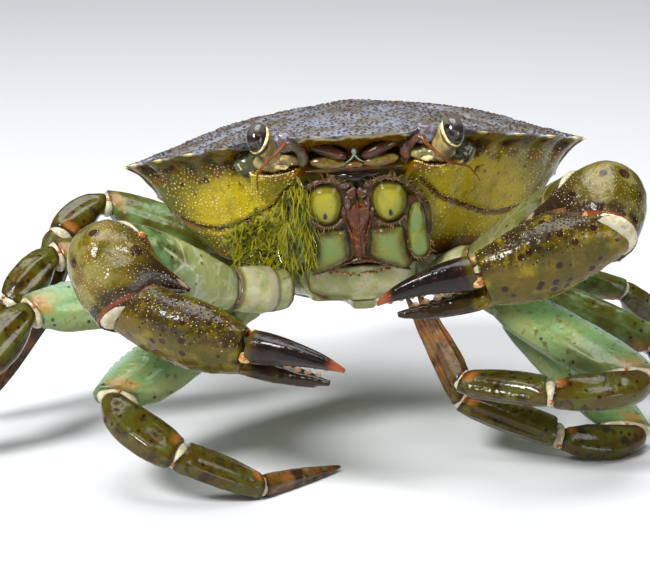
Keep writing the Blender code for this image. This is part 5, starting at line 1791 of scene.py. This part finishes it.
class CRAB_OT_weed(bpy.types.Operator):
    """Hang the tuft of weed on the right cheek"""
    bl_idname = "crab.weed"
    bl_label = "Weed"

    def execute(self, context):
        size = context.scene.crab_sizes
        shell = bpy.data.objects["carapace_shell"].data
        grain_piece("cheek_weed_mat", shell, 1400, 0.5, 0.62, slime_chance, SEEDS["slime"], "weed_slime",
                    0.32, 2)
        places, facing = scatter(shell, size.weed_count * 2, 0.12, weed_chance, SEEDS["weed"])
        draw = np.random.default_rng(SEEDS["threads"])
        shape = bmesh.new()
        roots = []
        for place, normal in list(zip(places, facing))[:size.weed_count]:
            out = Vector(normal).normalized()
            way = Vector((draw.normal(-0.1, 0.8), 0.0, -0.8)) + out * draw.uniform(0.1, 0.6)
            add_thread(shape, roots, Vector(place) + out * 0.2 * MM, way.normalized(),
                       size.weed_length * draw.uniform(0.3, 1.1), size.weed_radius * draw.uniform(0.5, 1.3),
                       0.14, 0.34, draw)
        for _ in range(CURTAIN_THREADS):
            across, down = draw.uniform(5.9, 10.0), draw.uniform(0.5, 9.5) + 0.5 * draw.normal()
            root = mouth_point(-across, down, draw.uniform(1.9, 2.7))
            way = Vector((draw.normal(-0.1, 0.35), -0.1, -1.0)).normalized()
            add_thread(shape, roots, root, way, size.weed_length * draw.uniform(0.5, 1.2),
                       size.weed_radius * draw.uniform(0.6, 1.4), 0.2, 0.22, draw)
        show_threads("cheek_weed", shape, roots, "wet_weed")
        return {"FINISHED"}


class CRAB_OT_bristles(bpy.types.Operator):
    """Fringe the mouth with bristles and the cheek grooves with beads"""
    bl_idname = "crab.bristles"
    bl_label = "Bristles"

    def execute(self, context):
        draw = np.random.default_rng(SEEDS["bristles"])
        shape = bmesh.new()
        roots = []
        field = (mouth_point(0, 0, 1) - mouth_point(0, 0, 0)).normalized()
        for side in SIDES:
            for line, lift, (outward, forward, up), count, reach in FRINGES:
                way = Vector((SIGN[side] * outward, forward, up))
                knots = [point for point, _ in mouth_line(side, line, lift, 0.0)]
                for point in curve_points(knots, count):
                    lean = (way + field * 0.5 + Vector(draw.normal(0.0, 0.45, 3))).normalized()
                    add_thread(shape, roots, point, lean, reach * draw.uniform(0.4, 1.2),
                               BRISTLE_RADIUS, 0.05, 0.2, draw)
        show_threads("mouth_bristles", shape, roots, "bristle")
        shell = surface_of("carapace_shell")
        for side in SIDES:
            shape = bmesh.new()
            for point in curve_points([(across, up + 0.5, 0.0) for across, up in CHEEK_GROOVE], 58):
                start = body_point(SIGN[side] * point.x, BEFORE_FACE, point.y)
                spot = shell.ray_cast(start, -BODY_AXES.col[1])[0]
                if spot is not None:
                    add_blob(shape, spot, BODY_AXES, [0.12 * draw.uniform(0.7, 1.3)] * 3, *BEAD_STEPS)
            show(f"{side}_groove_beads", mesh_of(shape), "lime_grain")
        return {"FINISHED"}


# ---------------------------------------------------------------- underside

# Sutures of the breast plate cross its middle at these forward positions
SUTURES = (9.5, 5.2, 0.8, -3.6, -8.0)
TAIL_SEGMENTS = 6


class CRAB_OT_underside(bpy.types.Operator):
    """Carve and paint the breast plate and the folded tail"""
    bl_idname = "crab.underside"
    bl_label = "Underside"

    def execute(self, context):
        for name in [name for name in frame["nodes"] if name in ("sternum", "abdomen")]:
            mesh = rounded(node_cage(name), 4)
            points = read_points(mesh)
            body = to_body(points)
            side, forward, up = np.abs(body[:, 0]), body[:, 1], body[:, 2]
            if name == "sternum":
                lines = [((2.5, place), (7.0, place + 0.4), (16.0, place + 2.2)) for place in SUTURES]
                plan = np.stack((side, forward), axis=1)
                gap = np.min([line_distance(plan, line) for line in lines], axis=0)
                step = bell(np.abs(up - up.min() - 1.4), 0.3) * smooth(forward, 8.0, 12.0)
            else:
                places = np.linspace(forward.min(), forward.max(), TAIL_SEGMENTS + 1)[1:-1]
                gap = np.min([np.abs(forward - place) for place in places], axis=0)
                step = 0.0
            groove = np.maximum(bell(gap, 0.32), 0.7 * step)
            lift_points(mesh, points, 0.10 * roughness_of(points, 2.0 * MM) - 0.3 * groove)
            paint_zones(mesh, 0.0, groove, bell(gap, 1.1))
            show(f"{name}_shell", mesh, "wet_shell_breast", (name,))
        shell = surface_of("sternum_shell")
        draw = np.random.default_rng(SEEDS["breast"])
        shape = bmesh.new()
        for across in np.linspace(-5.0, 5.0, 27):
            start = body_point(across, BEFORE_FACE, -16.4 + 0.03 * across ** 2 + draw.normal(0.0, 0.12))
            spot = shell.ray_cast(start, -BODY_AXES.col[1])[0]
            if spot is not None:
                add_blob(shape, spot, BODY_AXES, [0.2 * draw.uniform(0.6, 1.3)] * 3, *BEAD_STEPS)
        show("breast_beads", mesh_of(shape), "hinge_knob")
        return {"FINISHED"}


# ---------------------------------------------------------------- stage

CAMERA_ELEVATION = math.radians(15.0)
CAMERA_DISTANCE = 380.0
CAMERA_AIM = (-4.12, -18.6)       # the view's centre from the body's origin: right and up in the view
CAMERA_LENS = 150.5
CAMERA_SENSOR = 36.0
FLOOR_HALF = 3.0           # metres
FLOOR_COLOUR = "D4D6D8"
SKY_COLOUR = (0.92, 0.95, 1.0, 1.0)
SKY_STRENGTH = 0.16
LAMP_AIM = Vector((0.0, 0.0, 0.03))    # metres
# Lamps: name, place and width in metres, power in watts
LAMPS = (
    ("key", (-0.28, -0.36, 0.42), 0.16, 4.6),
    ("fill", (0.40, -0.40, 0.16), 0.25, 0.8),
    ("top", (0.0, 0.02, 0.60), 0.50, 3.9),
)


def place_holder(name, data, place, axes):
    """Link an object that stands at a place, turned to axes."""
    holder = bpy.data.objects.new(name, data)
    holder.matrix_world = Matrix.Translation(place) @ axes.to_4x4()
    bpy.context.scene.collection.objects.link(holder)
    return holder


class CRAB_OT_stage(bpy.types.Operator):
    """Add the floor, the camera, the lamps and the pale surroundings"""
    bl_idname = "crab.stage"
    bl_label = "Stage"

    def execute(self, context):
        scene = context.scene
        shape = bmesh.new()
        bmesh.ops.create_grid(shape, x_segments=1, y_segments=1, size=FLOOR_HALF)
        floor = place_holder("floor", mesh_of(shape), Vector(), Matrix.Identity(3))
        # Matt paper: uncoated fibres, so a pale grey without a highlight.
        paper = bpy.data.materials.new("matt_paper")
        paper.use_nodes = True
        shader = paper.node_tree.nodes["Principled BSDF"]
        shader.inputs["Base Color"].default_value = (*linear(FLOOR_COLOUR), 1.0)
        shader.inputs["Roughness"].default_value = 0.9
        floor.data.materials.append(paper)
        look = Vector((0.0, math.cos(CAMERA_ELEVATION), -math.sin(CAMERA_ELEVATION)))
        above = Vector((0.0, math.sin(CAMERA_ELEVATION), math.cos(CAMERA_ELEVATION)))
        right = Vector((1.0, 0.0, 0.0))
        eye = BODY_ORIGIN - (look * CAMERA_DISTANCE - right * CAMERA_AIM[0] - above * CAMERA_AIM[1]) * MM
        camera = bpy.data.cameras.new("camera")
        camera.lens = CAMERA_LENS
        camera.sensor_width = CAMERA_SENSOR
        camera.clip_start = 0.01
        scene.camera = place_holder("camera", camera, eye, Matrix((right, above, -look)).transposed())
        world = bpy.data.worlds.new("pale_room")
        world.use_nodes = True
        sky = world.node_tree.nodes["Background"]
        sky.inputs["Color"].default_value = SKY_COLOUR
        sky.inputs["Strength"].default_value = SKY_STRENGTH
        scene.world = world
        # The default film curve would grey a wet animal's colours against a pale floor.
        scene.view_settings.view_transform = "Standard"
        for name, place, size, power in LAMPS:
            lamp = bpy.data.lights.new(name, "AREA")
            lamp.shape = "DISK"
            lamp.size = size
            lamp.energy = power
            place_holder(name, lamp, place, turned(Vector(place) - LAMP_AIM))
        return {"FINISHED"}


# ---------------------------------------------------------------- panel and registration

STEPS = ("carapace", "grains", "eyes", "feelers", "mouth", "claws", "claw_details", "legs", "leg_roots",
         "joints", "weed", "bristles", "underside", "stage")


class CRAB_PT_panel(bpy.types.Panel):
    """Lists the steps that build the crab"""
    bl_idname = "CRAB_PT_panel"
    bl_label = "Shore crab"
    bl_space_type = "VIEW_3D"
    bl_region_type = "UI"
    bl_category = "Crab"

    def draw(self, context):
        for step in STEPS:
            self.layout.operator(f"crab.{step}")
        for group in (context.scene.crab_sizes, context.scene.crab_colours):
            for name in group.bl_rna.properties.keys():
                if name not in ("rna_type", "name"):
                    self.layout.prop(group, name)


CLASSES = (CrabColours, CrabSizes, CRAB_OT_carapace, CRAB_OT_grains, CRAB_OT_eyes, CRAB_OT_feelers,
           CRAB_OT_mouth, CRAB_OT_claws, CRAB_OT_claw_details, CRAB_OT_legs, CRAB_OT_leg_roots,
           CRAB_OT_joints, CRAB_OT_weed, CRAB_OT_bristles, CRAB_OT_underside, CRAB_OT_stage, CRAB_PT_panel)


def register():
    for item in CLASSES:
        bpy.utils.register_class(item)
    bpy.types.Scene.crab_colours = PointerProperty(type=CrabColours)
    bpy.types.Scene.crab_sizes = PointerProperty(type=CrabSizes)


def unregister():
    del bpy.types.Scene.crab_sizes
    del bpy.types.Scene.crab_colours
    for item in reversed(CLASSES):
        bpy.utils.unregister_class(item)


def main():
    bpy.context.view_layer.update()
    register()
    for step in STEPS:
        getattr(bpy.ops.crab, step)()


if __name__ == "__main__":
    main()
